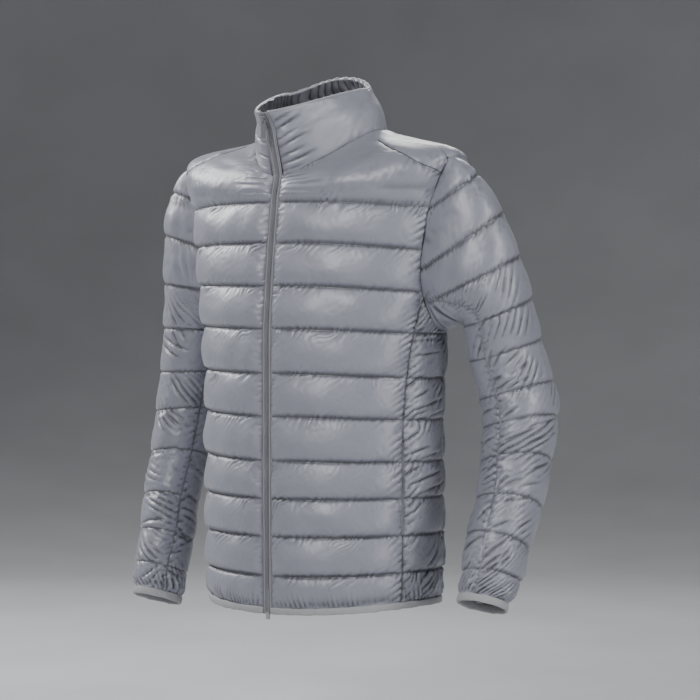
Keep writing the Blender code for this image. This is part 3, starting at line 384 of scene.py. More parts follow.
def make_panels():
    channel_heights = [0.045, 0.055, 0.053, 0.055, 0.060, 0.060, 0.060, 0.060, 0.060, 0.057]
    panels = []
    for name, side in (("front_left", 1), ("front_right", -1)):

        def zip_side(rows, side=side):
            return side * np.degrees(np.arcsin((ZIP_EDGE + SEAM) / smooth(BODY_RINGS[:, 4], rows)))

        def outer_side(rows, side=side):
            angle = side_seam(rows, side)
            # on the shoulder the front runs on a little way under the back
            gap = np.where(rows > SHOULDER, -0.0009, half_gap(rows))
            return side * (angle - degrees_of(gap, rows, side * angle))

        lines = (*range(LINE_1 + 1), NECKLINE)
        panels.append(body_piece(name, lines, [*channel_heights, 0.11], zip_side, outer_side, 117, FINE))

    def left(rows):
        angle = back_edge(rows, 1)
        return angle + degrees_of(SEAM / 2, rows, angle)

    def right(rows):
        angle = back_edge(rows, -1)
        return 360 - angle - degrees_of(SEAM / 2, rows, -angle)

    lines = (*range(LINE_1 + 1), SHOULDER, NECKLINE)
    panels.append(body_piece("back", lines, [*channel_heights, 0.06, 0.15], left, right, 161, BACK_FINE))

    for name, side in (("side_left", 1), ("side_right", -1)):
        level_top = SIDE_SEAM_TOP + 0.001
        top_front = float(ring_at_height(SIDE_SEAM_ANGLE[-1], level_top, side))
        lines = (HEM_ROW, *range(1, LAST_SIDE_LINE + 1), top_front)
        rows = rows_on(lines, channel_heights[:LAST_SIDE_LINE] + [0.1])
        front = side_seam(rows, side)
        front = front + degrees_of(half_gap(rows), rows, side * front)
        top_back = float(ring_at_height(BACK_SEAM_ANGLE[-1], SIDE_SEAM_TOP, side)) - UNDERARM_GAP
        high = np.clip((rows - LAST_SIDE_LINE) / (top_front - LAST_SIDE_LINE), 0, 1)
        at_back = np.minimum(rows, LAST_SIDE_LINE) + high * (top_back - LAST_SIDE_LINE)
        back = back_edge(at_back, side)
        back = back - degrees_of(SEAM / 2, at_back, side * back)
        angle = front[:, None] + (back - front)[:, None] * np.linspace(0, 1, 65)
        before = angle < ARMHOLE_BOTTOM
        reach = np.where(before, ARMHOLE_BOTTOM - ARMHOLE_FRONT, ARMHOLE_BACK - ARMHOLE_BOTTOM)
        share = np.clip((angle - ARMHOLE_BOTTOM) / reach, -1, 1)
        height = ARMHOLE_MID - ARMHOLE_HALF * np.sqrt(1 - share**2)
        height = np.where(np.abs(share) > SIDE_CORNER, np.minimum(height, level_top), height)
        top = ring_at_height(angle[-1], height[-1], side) - UNDERARM_GAP
        ring = np.minimum(rows, LAST_SIDE_LINE)[:, None] + high[:, None] * (top - LAST_SIDE_LINE)
        angle = side * angle
        quilt = np.broadcast_to(np.interp(rows, lines, np.arange(len(lines)))[:, None], angle.shape).copy()
        quilt[0] = 0
        # channels go on above the last line that both seams share
        above = ring > LAST_SIDE_LINE
        quilt[above] = ring[above]
        panels.append(Panel(name, body_point(angle, ring), body_normals(angle, ring), quilt))
    return panels


def armhole(phi, side):
    s, c = np.sin(np.radians(phi)), np.cos(np.radians(phi))
    middle = np.where(c >= 0, ARMHOLE_TOP, ARMHOLE_BOTTOM)
    angle = np.where(s >= 0, middle - (middle - ARMHOLE_FRONT) * s, middle - (ARMHOLE_BACK - middle) * s)
    return body_point(side * angle, ring_at_height(angle, ARMHOLE_MID + ARMHOLE_HALF * c, side))


def sleeve_surface(rows, side):
    """Loops through the sleeve's rings, with a Hermite blend from the armhole to the first whole loop."""
    turn = np.array([math.cos(SLEEVE_TURN), math.sin(SLEEVE_TURN), 0.0])
    forward = np.array([math.sin(SLEEVE_TURN), -math.cos(SLEEVE_TURN), 0.0])
    rise, pitch = np.radians(rows[:, 5:6]), np.radians(rows[:, 6:7])
    across = np.cos(rise) * side * turn + np.sin(rise) * (0, 0, 1)
    deep = np.cos(pitch) * forward + np.sin(pitch) * (0, 0, 1)
    deep = unit(deep - (deep * across).sum(1, keepdims=True) * across)
    centre = rows[:, :3] - (0, 0, HELD_HEIGHT)
    down = np.cross(across, deep)
    down *= np.where(down[:, 2:] > 0, -1.0, 1.0)

    def loops(phi, place):
        at = np.asarray(place, float) - 1
        c, s = np.cos(np.radians(phi))[..., None], np.sin(np.radians(phi))[..., None]
        half = smooth(rows[CAP_LINES:, 3:5], at)
        out, fore = smooth(across[CAP_LINES:], at), smooth(deep[CAP_LINES:], at)
        return smooth(centre[CAP_LINES:], at) + half[..., :1] * c * unit(out) + half[..., 1:] * s * unit(fore)

    sample = np.linspace(0, 360, 145)
    hole = armhole(sample % 360, side)

    def surface(phi, place):
        phi, place = np.broadcast_arrays(np.asarray(phi, float), np.asarray(place, float))
        start = np.stack([np.interp(phi % 360, sample, hole[:, i]) for i in range(3)], axis=-1)
        end = loops(phi, np.ones_like(phi))
        span = np.linalg.norm(end - start, axis=-1, keepdims=True)
        leave = unit(np.array([side * CAP_LEAVES[0], 0.0, CAP_LEAVES[1]]))
        leave = leave + CAP_SPREAD * np.sin(np.radians(phi))[..., None] * (0, -1, 0)
        arrive = unit(loops(phi, np.full(phi.shape, 1.05)) - end)
        t = np.clip(place, 0, 1)[..., None]
        cap = (2 * t**3 - 3 * t**2 + 1) * start + (t**3 - 2 * t**2 + t) * leave * span
        cap += (3 * t**2 - 2 * t**3) * end + (t**3 - t**2) * arrive * span
        return np.where(place[..., None] < 1, cap, loops(phi, np.maximum(place, 1.0)))

    def axis(phi, place):
        below = smooth(centre[CAP_LINES:], np.asarray(place, float) - 1)
        t = np.clip(place, 0, 1)[..., None]
        return np.where(place[..., None] < 1, hole[::6].mean(0) * (1 - t) + below * t, below)

    def quilting(points, place):
        planes = [((points - centre[i]) * down[i]).sum(-1) for i in range(CAP_LINES + 1)]
        number = 1 + planes[0] / CAP_LINE_SPACING
        for i in range(CAP_LINES):
            share = planes[i] / np.maximum(planes[i] - planes[i + 1], 1e-6)
            number = np.where(planes[i] > 0, i + 1 + np.clip(share, 0, 1), number)
        return np.where(place < 1, number, place + CAP_LINES)

    return surface, axis, quilting


def make_sleeves():
    panels, ends = [], []
    for word, rows, side in (("left", LEFT_SLEEVE, 1), ("right", RIGHT_SLEEVE, -1)):
        surface, axis, quilting = sleeve_surface(rows, side)
        loops = len(rows) - CAP_LINES
        spans = (
            (f"sleeve_{word}_top", BACK_SEAM_PHI - 360, FRONT_SEAM_PHI, 121),
            (f"sleeve_{word}_under", FRONT_SEAM_PHI, BACK_SEAM_PHI, 57),
        )
        places = np.concatenate([np.linspace(0, 1, 81)[:-1], rows_on(range(1, loops + 1), [0.052] * loops)])
        places[0], places[-1] = 0.001, loops - 0.001
        for name, low, high, columns in spans:
            phi, place = np.meshgrid(np.linspace(low, high, columns), places)
            side_share = np.minimum(phi - low, high - phi)
            phi = phi - SEAM_TWIST[side] * place / loops
            points = surface(phi, place)
            normal = normals(surface, phi, np.maximum(place, 0.03), 1.0, 0.01, axis)
            quilt = quilting(points, place)
            inner = np.cos(np.radians(phi - 180)).clip(0, 1) ** 1.5
            press = 1 - inner * np.interp(place, (*INNER_PLACES, loops), INNER_PRESSED)
            from_edge = np.minimum(side_share * METRES_A_DEGREE, place * ARMHOLE_FADE)
            press = press * (1 - np.exp(-from_edge / 0.012))
            panel = Panel(name, over_shoulder(points), normal, quilt, press)
            panel.place, panel.phi = place, phi
            # lengths run from the first whole loop, as the cap's columns differ much in length
            panel.y = panel.y - panel.y[places.searchsorted(1.0)]
            panels.append(panel)
        ends.append((word, surface, axis, loops))
    return panels, ends


# ---------------------------------------------------------------- filling: cloth swelled by pressure
def slack_of(panel):
    """How much spare cloth each place has, 0 to 1: most along seams, on the sides and down the sleeves."""
    by_line = np.exp(-np.abs(panel.near) / 0.010)
    by_edge = np.exp(-panel.edge / 0.018)
    if panel.name.startswith("sleeve"):
        down = np.interp(panel.place, (0, 1, 3, 5, 8), (0.04, 0.06, 0.10, 0.14, 0.18))
        return np.clip(down + 0.10 * by_line, 0, 1)
    if panel.name.startswith("side"):
        return np.clip(0.55 + 0.3 * by_edge + 0.15 * by_line, 0, 1)
    if panel.name == "collar":
        return np.clip(0.03 + 0.25 * np.exp(-panel.edge / 0.02), 0, 1)
    return np.clip(0.04 + 0.10 * by_line + 0.40 * by_edge, 0, 1)


def grid_faces(rows, columns, start=0):
    index = start + np.arange(rows * columns).reshape(rows, columns)
    corners = [index[:-1, :-1], index[:-1, 1:], index[1:, 1:], index[1:, :-1]]
    return np.stack(corners, -1).reshape(-1, 4), index


def faces_inwards(points, normal):
    """Whether a grid's faces, as grid_faces makes them, look against its normals."""
    facing = np.cross(points[1:, 1:] - points[:-1, :-1], points[1:, :-1] - points[:-1, 1:])
    return (facing * normal[:-1, :-1]).sum() < 0


def cloth_object(panel):
    """Every other row and column of a panel as a cloth object pinned along its seams and quilting."""
    points, normal = panel.points[::2, ::2], panel.normal[::2, ::2]
    rise = 0.85 * panel.lift * panel.swell()[::2, ::2]
    rng = np.random.default_rng(len(panel.name) * 7 + points.shape[0])
    rise = rise + rng.normal(0, 0.00022, rise.shape) * (rise > 0.0005)
    start = points + rise[..., None] * normal
    rows, columns = rise.shape
    faces, index = grid_faces(rows, columns)
    if faces_inwards(start, normal):
        faces = faces[:, ::-1]
    mesh = bpy.data.meshes.new("sim_" + panel.name)
    mesh.from_pydata(start.reshape(-1, 3).tolist(), [], faces.tolist())
    made = bpy.data.objects.new("sim_" + panel.name, mesh)
    bpy.context.scene.collection.objects.link(made)
    spacing = np.abs(np.gradient(panel.y[::2, ::2], axis=0))
    pinned = np.abs(panel.near[::2, ::2]) < 0.45 * spacing
    pinned[[0, -1]] = True
    pinned[:, [0, -1]] = True
    made.vertex_groups.new(name="pin").add(index[pinned].tolist(), 1.0, "REPLACE")
    slack = made.vertex_groups.new(name="slack")
    level = np.round(slack_of(panel)[::2, ::2] * 12).astype(int)
    for step in range(13):
        if (level == step).any():
            slack.add(index[level == step].tolist(), step / 12, "REPLACE")
    cloth = made.modifiers.new("cloth", "CLOTH")
    cloth.point_cache.frame_start, cloth.point_cache.frame_end = 1, SIM_FRAMES
    cloth.collision_settings.use_collision = False
    values = cloth.settings
    values.quality = 4
    values.mass = 0.15
    values.air_damping = 2.0
    values.tension_stiffness = 20
    values.compression_stiffness = 10
    values.shear_stiffness = 5
    values.bending_stiffness = 0.05 if panel.name.startswith(("sleeve", "side")) else 0.25
    values.vertex_group_mass = "pin"
    values.vertex_group_shrink = "slack"
    values.shrink_min, values.shrink_max = -0.005, -0.16
    values.use_pressure = True
    values.uniform_pressure_force = 3.0 if panel.name == "collar" else 4.0
    values.effector_weights.gravity = 0.0
    return made


def fill(panels):
    """Swells all panels at once, caps how far each point moved and keeps that as the panels' offsets."""
    made = [cloth_object(panel) for panel in panels]
    scene = bpy.context.scene
    for number in range(1, SIM_FRAMES + 1):
        scene.frame_set(number)
    depsgraph = bpy.context.evaluated_depsgraph_get()
    for panel, cloth in zip(panels, made):
        points, normal = panel.points[::2, ::2], panel.normal[::2, ::2]
        swelled = cloth.evaluated_get(depsgraph).to_mesh()
        place = np.empty(points.size)
        swelled.vertices.foreach_get("co", place)
        move = place.reshape(points.shape) - points
        rise = (move * normal).sum(-1)
        slide = move - rise[..., None] * normal
        most = 1.3 * panel.lift * panel.press[::2, ::2] + 0.0005
        rise = np.clip(rise, -0.0008, most)
        share = np.clip(0.35 + 1.3 * slack_of(panel)[::2, ::2], 0, 1)
        plain = (panel.lift * panel.swell())[::2, ::2]
        share = share * (1 - panel.at_join[::2, ::2])
        rise = (share * rise + (1 - share) * plain) * panel.free[::2, ::2]
        slide = slide * ((1 - panel.at_join) * panel.free**3)[::2, ::2, None]
        slide *= np.minimum(1, 0.004 / np.maximum(np.linalg.norm(slide, axis=-1, keepdims=True), 1e-9))
        rows = np.arange(panel.points.shape[0]) / 2
        columns = np.arange(panel.points.shape[1]) / 2
        move = smooth(rise[..., None] * normal + slide, rows)
        panel.offset = np.swapaxes(smooth(np.swapaxes(move, 0, 1), columns), 0, 1)
        panel.offset[::2, ::2] = rise[..., None] * normal + slide
    scene.frame_set(1)
    for cloth in made:
        bpy.data.meshes.remove(cloth.data)


# ---------------------------------------------------------------- seams and creases in the swelled cloth
# Creases, each from one place to another of its panel as shares across and quilting numbers, with
# its width and depth in millimetres and how far it bows to one side in millimetres. The columns are u0, q0,
# u1, q1, width, depth and bow.
CREASES = {
    "front_left": [
        (0.00, 10.62, 0.30, 10.66, 3.0, 1.6, 2),
        (0.00, 10.50, 0.24, 10.50, 3.0, 1.3, 1),
        (0.00, 10.38, 0.34, 10.34, 3.5, 1.5, 0),
        (0.00, 10.25, 0.22, 10.22, 3.0, 1.2, 0),
        (0.00, 10.80, 0.16, 10.88, 3.0, 1.4, 2),
        (0.60, 10.15, 1.00, 10.10, 6.0, 1.4, 3),
        (0.20, 10.10, 0.75, 10.16, 7.0, 1.2, 2),
    ],
    "front_right": [
        (0.00, 10.60, 0.22, 10.62, 3.0, 1.4, 1),
        (0.00, 10.42, 0.26, 10.38, 3.0, 1.2, 0),
        (0.00, 10.22, 0.20, 10.20, 3.0, 1.1, 0),
        (0.30, 10.12, 1.00, 10.10, 7.0, 1.2, 3),
    ],
    "sleeve_left_under": [
        (0.364, 5.55, 0.0, 5.45, 2.6, 2.0, 2),
        (0.5, 6.5, 0.0, 6.45, 2.6, 2.2, 1),
        (0.205, 8.68, 0.0, 8.32, 2.8, 2.2, 2),
        (0.523, 9.45, 0.0, 9.09, 3.0, 2.8, 2),
        (0.545, 10.05, 0.159, 9.77, 2.6, 2.2, 1),
        (0.273, 10.95, 0.023, 10.45, 2.6, 2.2, 0),
        (0.295, 7.32, 0.0, 7.23, 2.6, 2.0, -1),
        (0.0, 2.13, 0.477, 2.9, 3.0, 2.6, 3),
        (0.0, 2.21, 0.5, 3.23, 2.8, 2.6, 2),
        (0.0, 2.31, 0.386, 2.83, 2.6, 2.0, -2),
        (0.5, 3.23, 0.5, 3.82, 2.8, 2.4, 2),
        (0.5, 3.18, 0.295, 3.91, 2.6, 2.2, 2),
        (0.091, 2.24, 0.295, 2.71, 2.6, 2.0, 2),
        (0.136, 3.86, 0.0, 3.5, 2.6, 2.0, 0),
        (0.114, 2.15, 0.0, 1.85, 2.4, 1.6, 0),
    ],
    "sleeve_left_top": [
        (1.0, 5.95, 0.865, 5.64, 2.6, 2.2, 2),
        (0.979, 6.68, 0.708, 6.27, 2.4, 2.2, 1),
        (0.896, 6.86, 0.573, 6.45, 2.4, 2.0, 1),
        (1.0, 7.0, 0.896, 6.77, 2.6, 2.0, 1),
        (1.0, 7.95, 0.885, 7.5, 3.0, 2.6, 4),
        (0.99, 7.95, 0.823, 7.59, 2.6, 2.2, 2),
        (0.823, 7.82, 0.677, 7.64, 2.4, 1.6, 1),
        (0.927, 8.18, 0.708, 7.86, 2.8, 2.2, -3),
        (0.99, 9.0, 0.833, 8.59, 2.8, 2.0, 2),
        (1.0, 9.77, 0.854, 9.18, 3.0, 3.0, 2),
        (1.0, 10.05, 0.802, 9.36, 3.0, 3.0, 2),
        (0.979, 10.18, 0.76, 9.45, 2.6, 2.4, 1),
        (0.885, 9.32, 0.771, 8.86, 2.6, 2.2, 1),
        (0.979, 11.0, 0.896, 10.45, 2.6, 2.2, 0),
        (0.844, 11.0, 0.792, 10.45, 2.6, 2.2, 0),
        (0.708, 11.0, 0.646, 10.45, 2.6, 2.0, 0),
        (0.802, 8.82, 0.677, 8.45, 2.8, 1.8, 1),
        (0.729, 9.14, 0.625, 8.64, 2.8, 2.2, 1),
        (1.0, 4.64, 0.917, 4.55, 2.8, 2.0, 1),
        (1.0, 4.91, 0.823, 4.73, 2.8, 2.2, 2),
        (0.938, 4.95, 0.75, 4.77, 2.6, 2.2, 1),
        (0.781, 7.41, 0.573, 7.14, 2.4, 1.8, -1),
        (0.854, 6.41, 0.531, 6.09, 2.4, 1.8, 1),
        (0.927, 2.09, 1.0, 2.37, 2.6, 1.8, 0),
        (0.906, 2.17, 1.0, 2.49, 2.6, 1.8, 0),
        (1.0, 4.27, 0.948, 3.77, 2.8, 2.2, 1),
        (0.958, 4.23, 0.854, 3.86, 2.6, 2.0, 1),
        (0.875, 4.27, 0.75, 4.05, 2.6, 1.8, 1),
        (0.854, 4.59, 0.74, 4.41, 2.6, 2.0, 1),
        (1.0, 3.18, 0.938, 2.84, 2.6, 1.6, 0),
    ],
    "sleeve_right_top": [
        (0.592, 3.23, 0.867, 3.5, 2.8, 2.2, 1),
        (0.567, 3.38, 0.833, 3.73, 2.8, 2.0, 1),
        (0.725, 4.12, 0.900, 4.92, 3.0, 2.4, 2),
        (0.758, 4.08, 0.917, 4.73, 2.8, 2.0, 1),
        (0.750, 5.12, 0.908, 5.50, 3.0, 2.4, 1),
        (0.783, 5.04, 0.917, 5.35, 2.6, 2.0, 1),
        (0.775, 9.62, 0.942, 8.92, 2.8, 2.4, 2),
        (0.842, 9.85, 0.958, 9.08, 2.8, 2.4, 1),
        (0.900, 10.0, 0.958, 9.23, 2.6, 2.4, 1),
        (0.575, 9.58, 0.775, 10.0, 2.6, 2.2, 0),
        (1.000, 10.0, 0.975, 9.08, 2.6, 2.4, 0),
        (0.567, 7.88, 0.917, 7.69, 4.0, 2.6, 0),
        (0.625, 7.15, 0.867, 7.04, 3.0, 1.8, 0),
        (0.575, 6.15, 0.833, 6.08, 3.0, 1.8, 0),
        (0.625, 5.15, 0.808, 5.08, 3.0, 1.8, 0),
    ],
    "sleeve_right_under": [
        (0.036, 4.85, 0.0, 5.23, 2.8, 2.4, 1),
        (0.0, 8.04, 0.482, 8.12, 2.8, 2.4, 1),
        (0.036, 7.88, 0.339, 8.12, 2.6, 2.0, 0),
        (0.232, 8.27, 0.643, 7.92, 2.6, 1.8, 0),
        (0.036, 8.65, 0.268, 8.42, 2.6, 1.8, 0),
        (0.018, 9.15, 0.518, 9.31, 2.6, 2.0, 1),
        (0.179, 9.92, 0.286, 9.15, 2.6, 2.0, 0),
        (0.0, 6.88, 0.411, 7.04, 3.0, 1.8, 1),
    ],
    "side_left": [
        (0.0, 6.65, 0.192, 6.9, 2.6, 2.0, 0),
        (0.058, 6.55, 0.596, 6.9, 2.6, 2.4, 1),
        (0.019, 5.83, 0.346, 6.14, 2.4, 2.0, 0),
        (0.077, 5.46, 0.442, 5.79, 2.4, 2.2, 1),
        (0.154, 5.25, 0.981, 5.54, 2.6, 2.4, 1),
        (0.077, 5.04, 0.462, 5.33, 2.4, 2.0, 0),
        (0.269, 5.0, 0.962, 5.25, 2.6, 2.4, 1),
        (0.077, 4.54, 0.269, 4.75, 2.4, 2.0, 0),
        (0.077, 4.17, 0.462, 4.42, 2.6, 2.4, 1),
        (0.212, 4.04, 0.75, 4.25, 2.4, 2.2, 1),
        (0.058, 3.73, 0.346, 3.95, 2.4, 2.2, 0),
        (0.077, 3.36, 0.788, 3.77, 2.6, 2.4, 1),
        (0.173, 3.09, 0.962, 3.45, 2.6, 2.4, 1),
        (0.077, 6.34, 0.635, 6.62, 2.4, 1.8, 0),
    ],
    "collar": [
        (0.000, 0.86, 0.060, 0.93, 2.2, 2.0, 2),
        (0.000, 0.70, 0.075, 0.86, 2.6, 2.9, 3),
        (0.000, 0.55, 0.060, 0.66, 2.2, 2.3, 2),
        (0.000, 0.42, 0.085, 0.55, 2.6, 2.9, 2),
        (0.000, 0.30, 0.070, 0.36, 2.2, 2.5, 1),
        (0.000, 0.19, 0.090, 0.20, 2.6, 2.9, 0),
        (0.000, 0.08, 0.060, 0.06, 2.2, 2.1, 0),
        (1.000, 0.80, 0.940, 0.88, 2.2, 2.1, 2),
        (1.000, 0.52, 0.930, 0.60, 2.2, 2.3, 2),
        (1.000, 0.30, 0.940, 0.33, 2.2, 2.3, 1),
        (1.000, 0.12, 0.930, 0.10, 2.2, 2.1, 0),
    ],
}


def add_creases(panel, relief):
    """Creases are valleys of Gaussian section, each with a low ridge beside it and fading to both its ends.
    """
    columns = panel.quilt.shape[1]
    middle = panel.quilt[:, columns // 2]
    order = np.argsort(middle)
    name = panel.name if panel.name in CREASES else panel.name.replace("right", "left")
    for u0, q0, u1, q1, width, depth, bow in CREASES.get(name, ()):
        rows = np.interp((q0, q1), middle[order], order)
        across = np.array((u0, u1)) * (columns - 1)
        r, c = rows.astype(int), across.astype(int)
        x0, x1 = panel.x[r, c]
        y0, y1 = panel.y[r, c]
        length = max(math.hypot(x1 - x0, y1 - y0), 1e-6)
        along = ((panel.x - x0) * (x1 - x0) + (panel.y - y0) * (y1 - y0)) / length
        aside = ((panel.y - y0) * (x1 - x0) - (panel.x - x0) * (y1 - y0)) / length
        t = np.clip(along / length, 0, 1)
        over = np.maximum(np.abs(along - length / 2) - length / 2, 0)
        s = (aside - bow * 0.001 * 4 * t * (1 - t)) / (width * 0.001)
        fade = np.exp(-((over / 0.006) ** 2)) * (1 - 0.75 * np.abs(2 * t - 0.8) ** 2).clip(0, 1)
        relief += depth * 0.001 * fade * (0.55 * np.exp(-((s - 1.6) ** 2)) - np.exp(-(s**2)))


# The forward shoulder seam, from the armhole to the collar, as ring and angle.
SHOULDER_SEAM = (
    (11.25, 73.5), (11.61, 66.9), (11.85, 62.8), (12.14, 60.0), (12.57, 59.0),
    (13.21, 60.4), (13.75, 63.0), (14.18, 65.7), (14.55, 68.2), (14.95, 71.0),
)


def shoulder_seam_line(side):
    ring, angle = np.array(SHOULDER_SEAM).T
    fine = np.linspace(0, len(ring) - 1, 160)
    line = smooth(np.stack([ring, angle], 1), fine)
    return body_point(side * line[:, 1], line[:, 0]), side * line[:, 1], line[:, 0]


def shoulder_relief(panel):
    """The forward shoulder seam pressed into the front panel, with small gathers below it."""
    side = 1 if panel.name == "front_left" else -1
    line, _, _ = shoulder_seam_line(side)
    rows = panel.ring[:, 0] > LINE_1 + 0.5
    points = panel.points[rows].reshape(-1, 3)
    gap = np.linalg.norm(points[:, None] - line[None], axis=2)
    nearest, apart = gap.argmin(1), gap.min(1)
    relief = np.zeros(panel.points.shape[:2])
    run = nearest * 0.0006
    gathers = 0.0007 * np.sin(run / 0.0013 + 2 * np.sin(run / 0.007))
    gathers = gathers * np.exp(-apart / 0.006) * (1 - np.exp(-apart / 0.001))
    pressed = -0.0012 * np.exp(-((apart / 0.0024) ** 2)) - 0.0012 * np.exp(-((apart / 0.008) ** 2))
    relief[rows] = (pressed + gathers).reshape(-1, relief.shape[1])
    return relief


# Gathers beside the quilting lines by kind of panel: height in millimetres above and below the lines, how
# far they reach there in millimetres, their slant, and the height of the ones off the side seams.
# The columns are above, below, reach_above, reach_below, slant, seam and seam_reach.
GATHERS = {
    "front": (1.2, 1.7, 6.0, 10.0, 0.9, 1.5, 12.0),
    "back": (1.2, 1.7, 6.0, 10.0, 0.9, 1.5, 12.0),
    "side": (1.4, 2.0, 8.0, 12.0, 0.9, 1.8, 14.0),
    "sleeve": (1.0, 1.4, 6.0, 9.0, 1.1, 0.9, 9.0),
    "collar": (0.5, 0.5, 5.0, 5.0, 0.3, 0.8, 8.0),
}
# Folds across whole channels: kind of panel, quilting numbers where they start and end, slant in degrees
# from level, wavelengths and height in millimetres.
FOLDS = (
    ("side", -1.0, 9.0, 42.0, 13.0, 26.0, 1.5),
    ("sleeve", 1.5, 4.2, 62.0, 16.0, 30.0, 1.1),
    ("sleeve", 4.0, 6.2, 45.0, 14.0, 28.0, 1.7),
    ("sleeve", 5.8, 8.4, 20.0, 14.0, 28.0, 2.3),
    ("sleeve", 8.0, 9.6, 38.0, 13.0, 26.0, 2.3),
    ("sleeve", 9.2, 12.0, 58.0, 11.0, 22.0, 2.1),
)


def slant_hand(panel):
    """Which way slanting gathers run: mirrored from the wearer's left to the right half."""
    if panel.name.startswith("sleeve"):
        return -1.0
    if panel.name in ("back", "collar"):
        return np.where(panel.x < panel.x[:, -1:] / 2, 1.0, -1.0)
    return -1.0 if panel.name.endswith("right") else 1.0


def relief_of(panel, seed):
    """Height added to the swelled cloth: groove on each quilting line, slanting gathers off the lines and
    the side seams, folds across the loose parts, and the creases. Gathers and folds are absolute values of
    waves, so they have round tops and sharp valleys."""
    kind = panel.name.split("_")[0]
    above, below, reach_above, reach_below, slant, seam, seam_reach = np.array(GATHERS[kind]) * 0.001
    apart, line = np.abs(panel.near), panel.line
    height = panel.near * panel.up
    hand = slant_hand(panel)
    wander = 0.004 * waves(panel.x, panel.y, seed + 1, 0.03, 0.06)
    patch = 0.5 + 0.5 * waves(panel.x, panel.y, seed, 0.05, 0.12).clip(-1, 1)
    skew = panel.x - hand * slant * 1000 * height + wander
    pucker = 1.4 * np.abs(line_waves(skew, line, seed + 2, 0.014, 0.030)) - 1.0
    fine = line_waves(skew, line, seed + 6, 0.004, 0.008)
    size = np.where(height > 0, above, below) * (0.25 + 0.75 * patch)
    reach = np.where(height > 0, reach_above, reach_below)
    rising = 1 - np.exp(-apart / 0.0012)
    relief = size * np.exp(-((apart / reach) ** 1.5)) * rising * pucker
    relief += 0.0004 * np.exp(-apart / 0.004) * rising * fine
    last = (panel.x > panel.x[:, -1:] / 2).astype(int)
    at_zip = (last == 0) & (kind == "front")
    off_seam = 1 - np.exp(-panel.edge / 0.0010)
    drift = panel.y + np.where(last, 0.6, -0.6) * hand * panel.edge
    tug = 1.4 * np.abs(line_waves(drift, last, seed + 3, 0.014, 0.034)) - 1.0
    tucks = np.where(at_zip, 0.25, 1.0) * seam * np.exp(-((panel.edge / seam_reach) ** 1.3))
    relief += tucks * off_seam * tug
    ripple = line_waves(panel.y, last, seed + 7, 0.0045, 0.009)
    relief += 0.0006 * np.exp(-panel.edge / 0.005) * off_seam * ripple
    # on a sleeve's cap the quilting lines cross the grid aslant, so their grooves are wider there
    aslant = panel.place < 1 if kind == "sleeve" else np.zeros(panel.quilt.shape, bool)
    relief -= np.where(aslant, 0.0026, 0.0014) * np.exp(-((apart / np.where(aslant, 0.0021, 0.0013)) ** 2))
    relief -= 0.0008 * np.exp(-((panel.edge / 0.0012) ** 2))
    relief += 0.0006 * waves(panel.x, panel.y, seed + 4, 0.045, 0.10) * (1 - np.exp(-apart / 0.012))
    for number, (name, start, end, degrees, short, long, size) in enumerate(FOLDS):
        if name != kind:
            continue
        within = np.clip((panel.quilt - start) / 0.8, 0, 1) * np.clip((end - panel.quilt) / 0.8, 0, 1)
        lean = math.radians(degrees) * hand * panel.up + math.pi / 2
        wave = waves(panel.x, panel.y, seed + 20 + number, short * 0.001, long * 0.001, lean, 0.42)
        strength = np.clip(0.25 + 0.9 * waves(panel.x, panel.y, seed + 40 + number, 0.05, 0.11), 0.1, 1)
        if kind == "sleeve":
            strength = strength * np.clip(0.35 + 0.65 * np.sin(np.radians(panel.phi)), 0.3, 1)
        rounded = 1.2 * np.sqrt(wave**2 + 0.01) - 0.9
        fold = size * 0.001 * within * strength * rounded * (1 - 0.75 * np.exp(-apart / 0.003))
        relief += fold * (1 - np.exp(-panel.edge / 0.004))
    if kind != "collar":
        from_band = panel.from_band
        drawn = waves(panel.x + 0.2 * from_band, 0 * panel.x, seed + 9, 0.010, 0.020, 0.0, 0.1)
        deep, reach = (0.0024, 0.020) if kind == "sleeve" else (0.0018, 0.016)
        relief += deep * (1.2 * np.abs(drawn) - 0.9) * np.exp(-((from_band / reach) ** 2))
        relief *= 1 - np.exp(-((from_band / 0.0035) ** 2))
    if kind == "front":
        relief += shoulder_relief(panel)
    add_creases(panel, relief)
    fade = (1 - np.exp(-panel.edge / 0.0006)) * (1 - panel.at_join)
    if kind != "sleeve":
        fade = fade * (0.25 + 0.75 * panel.press)
    relief = np.clip(relief, -0.0050, 0.0045) * fade
    if kind == "front":
        relief[:, -1] -= 0.0004 * (panel.at_join[:, -1] > 0.5)
    # a soft floor keeps all creases clear of the wall's inner side
    floor = THINNEST - WALL - (panel.offset * panel.normal).sum(-1)
    return floor + 0.0005 * np.logaddexp(0, (relief - floor) / 0.0005)


# ---------------------------------------------------------------- meshes
def new_mesh(name, points, faces, uv=None, values=None):
    """A mesh object at the origin. uv gives metres of cloth for each vertex, values are point attributes."""
    mesh = bpy.data.meshes.new(name)
    mesh.from_pydata(points.reshape(-1, 3).tolist(), [], faces)
    mesh.polygons.foreach_set("use_smooth", np.ones(len(mesh.polygons), bool))
    if uv is not None:
        corner = np.empty(len(mesh.loops), np.int32)
        mesh.loops.foreach_get("vertex_index", corner)
        laid = mesh.uv_layers.new(name="cloth")
        laid.data.foreach_set("uv", uv.reshape(-1, 2)[corner].ravel().astype(np.float32))
    for key, value in (values or {}).items():
        mask = mesh.attributes.new(key, "FLOAT", "POINT")
        mask.data.foreach_set("value", np.ravel(value).astype(np.float32))
    mesh.update()
    made = bpy.data.objects.new(name, mesh)
    bpy.context.scene.collection.objects.link(made)
    return made


def outline(index):
    """The edge of a grid of vertex numbers, once round."""
    return np.concatenate([index[0, :-1], index[:-1, -1], index[-1, :0:-1], index[:0:-1, 0]])


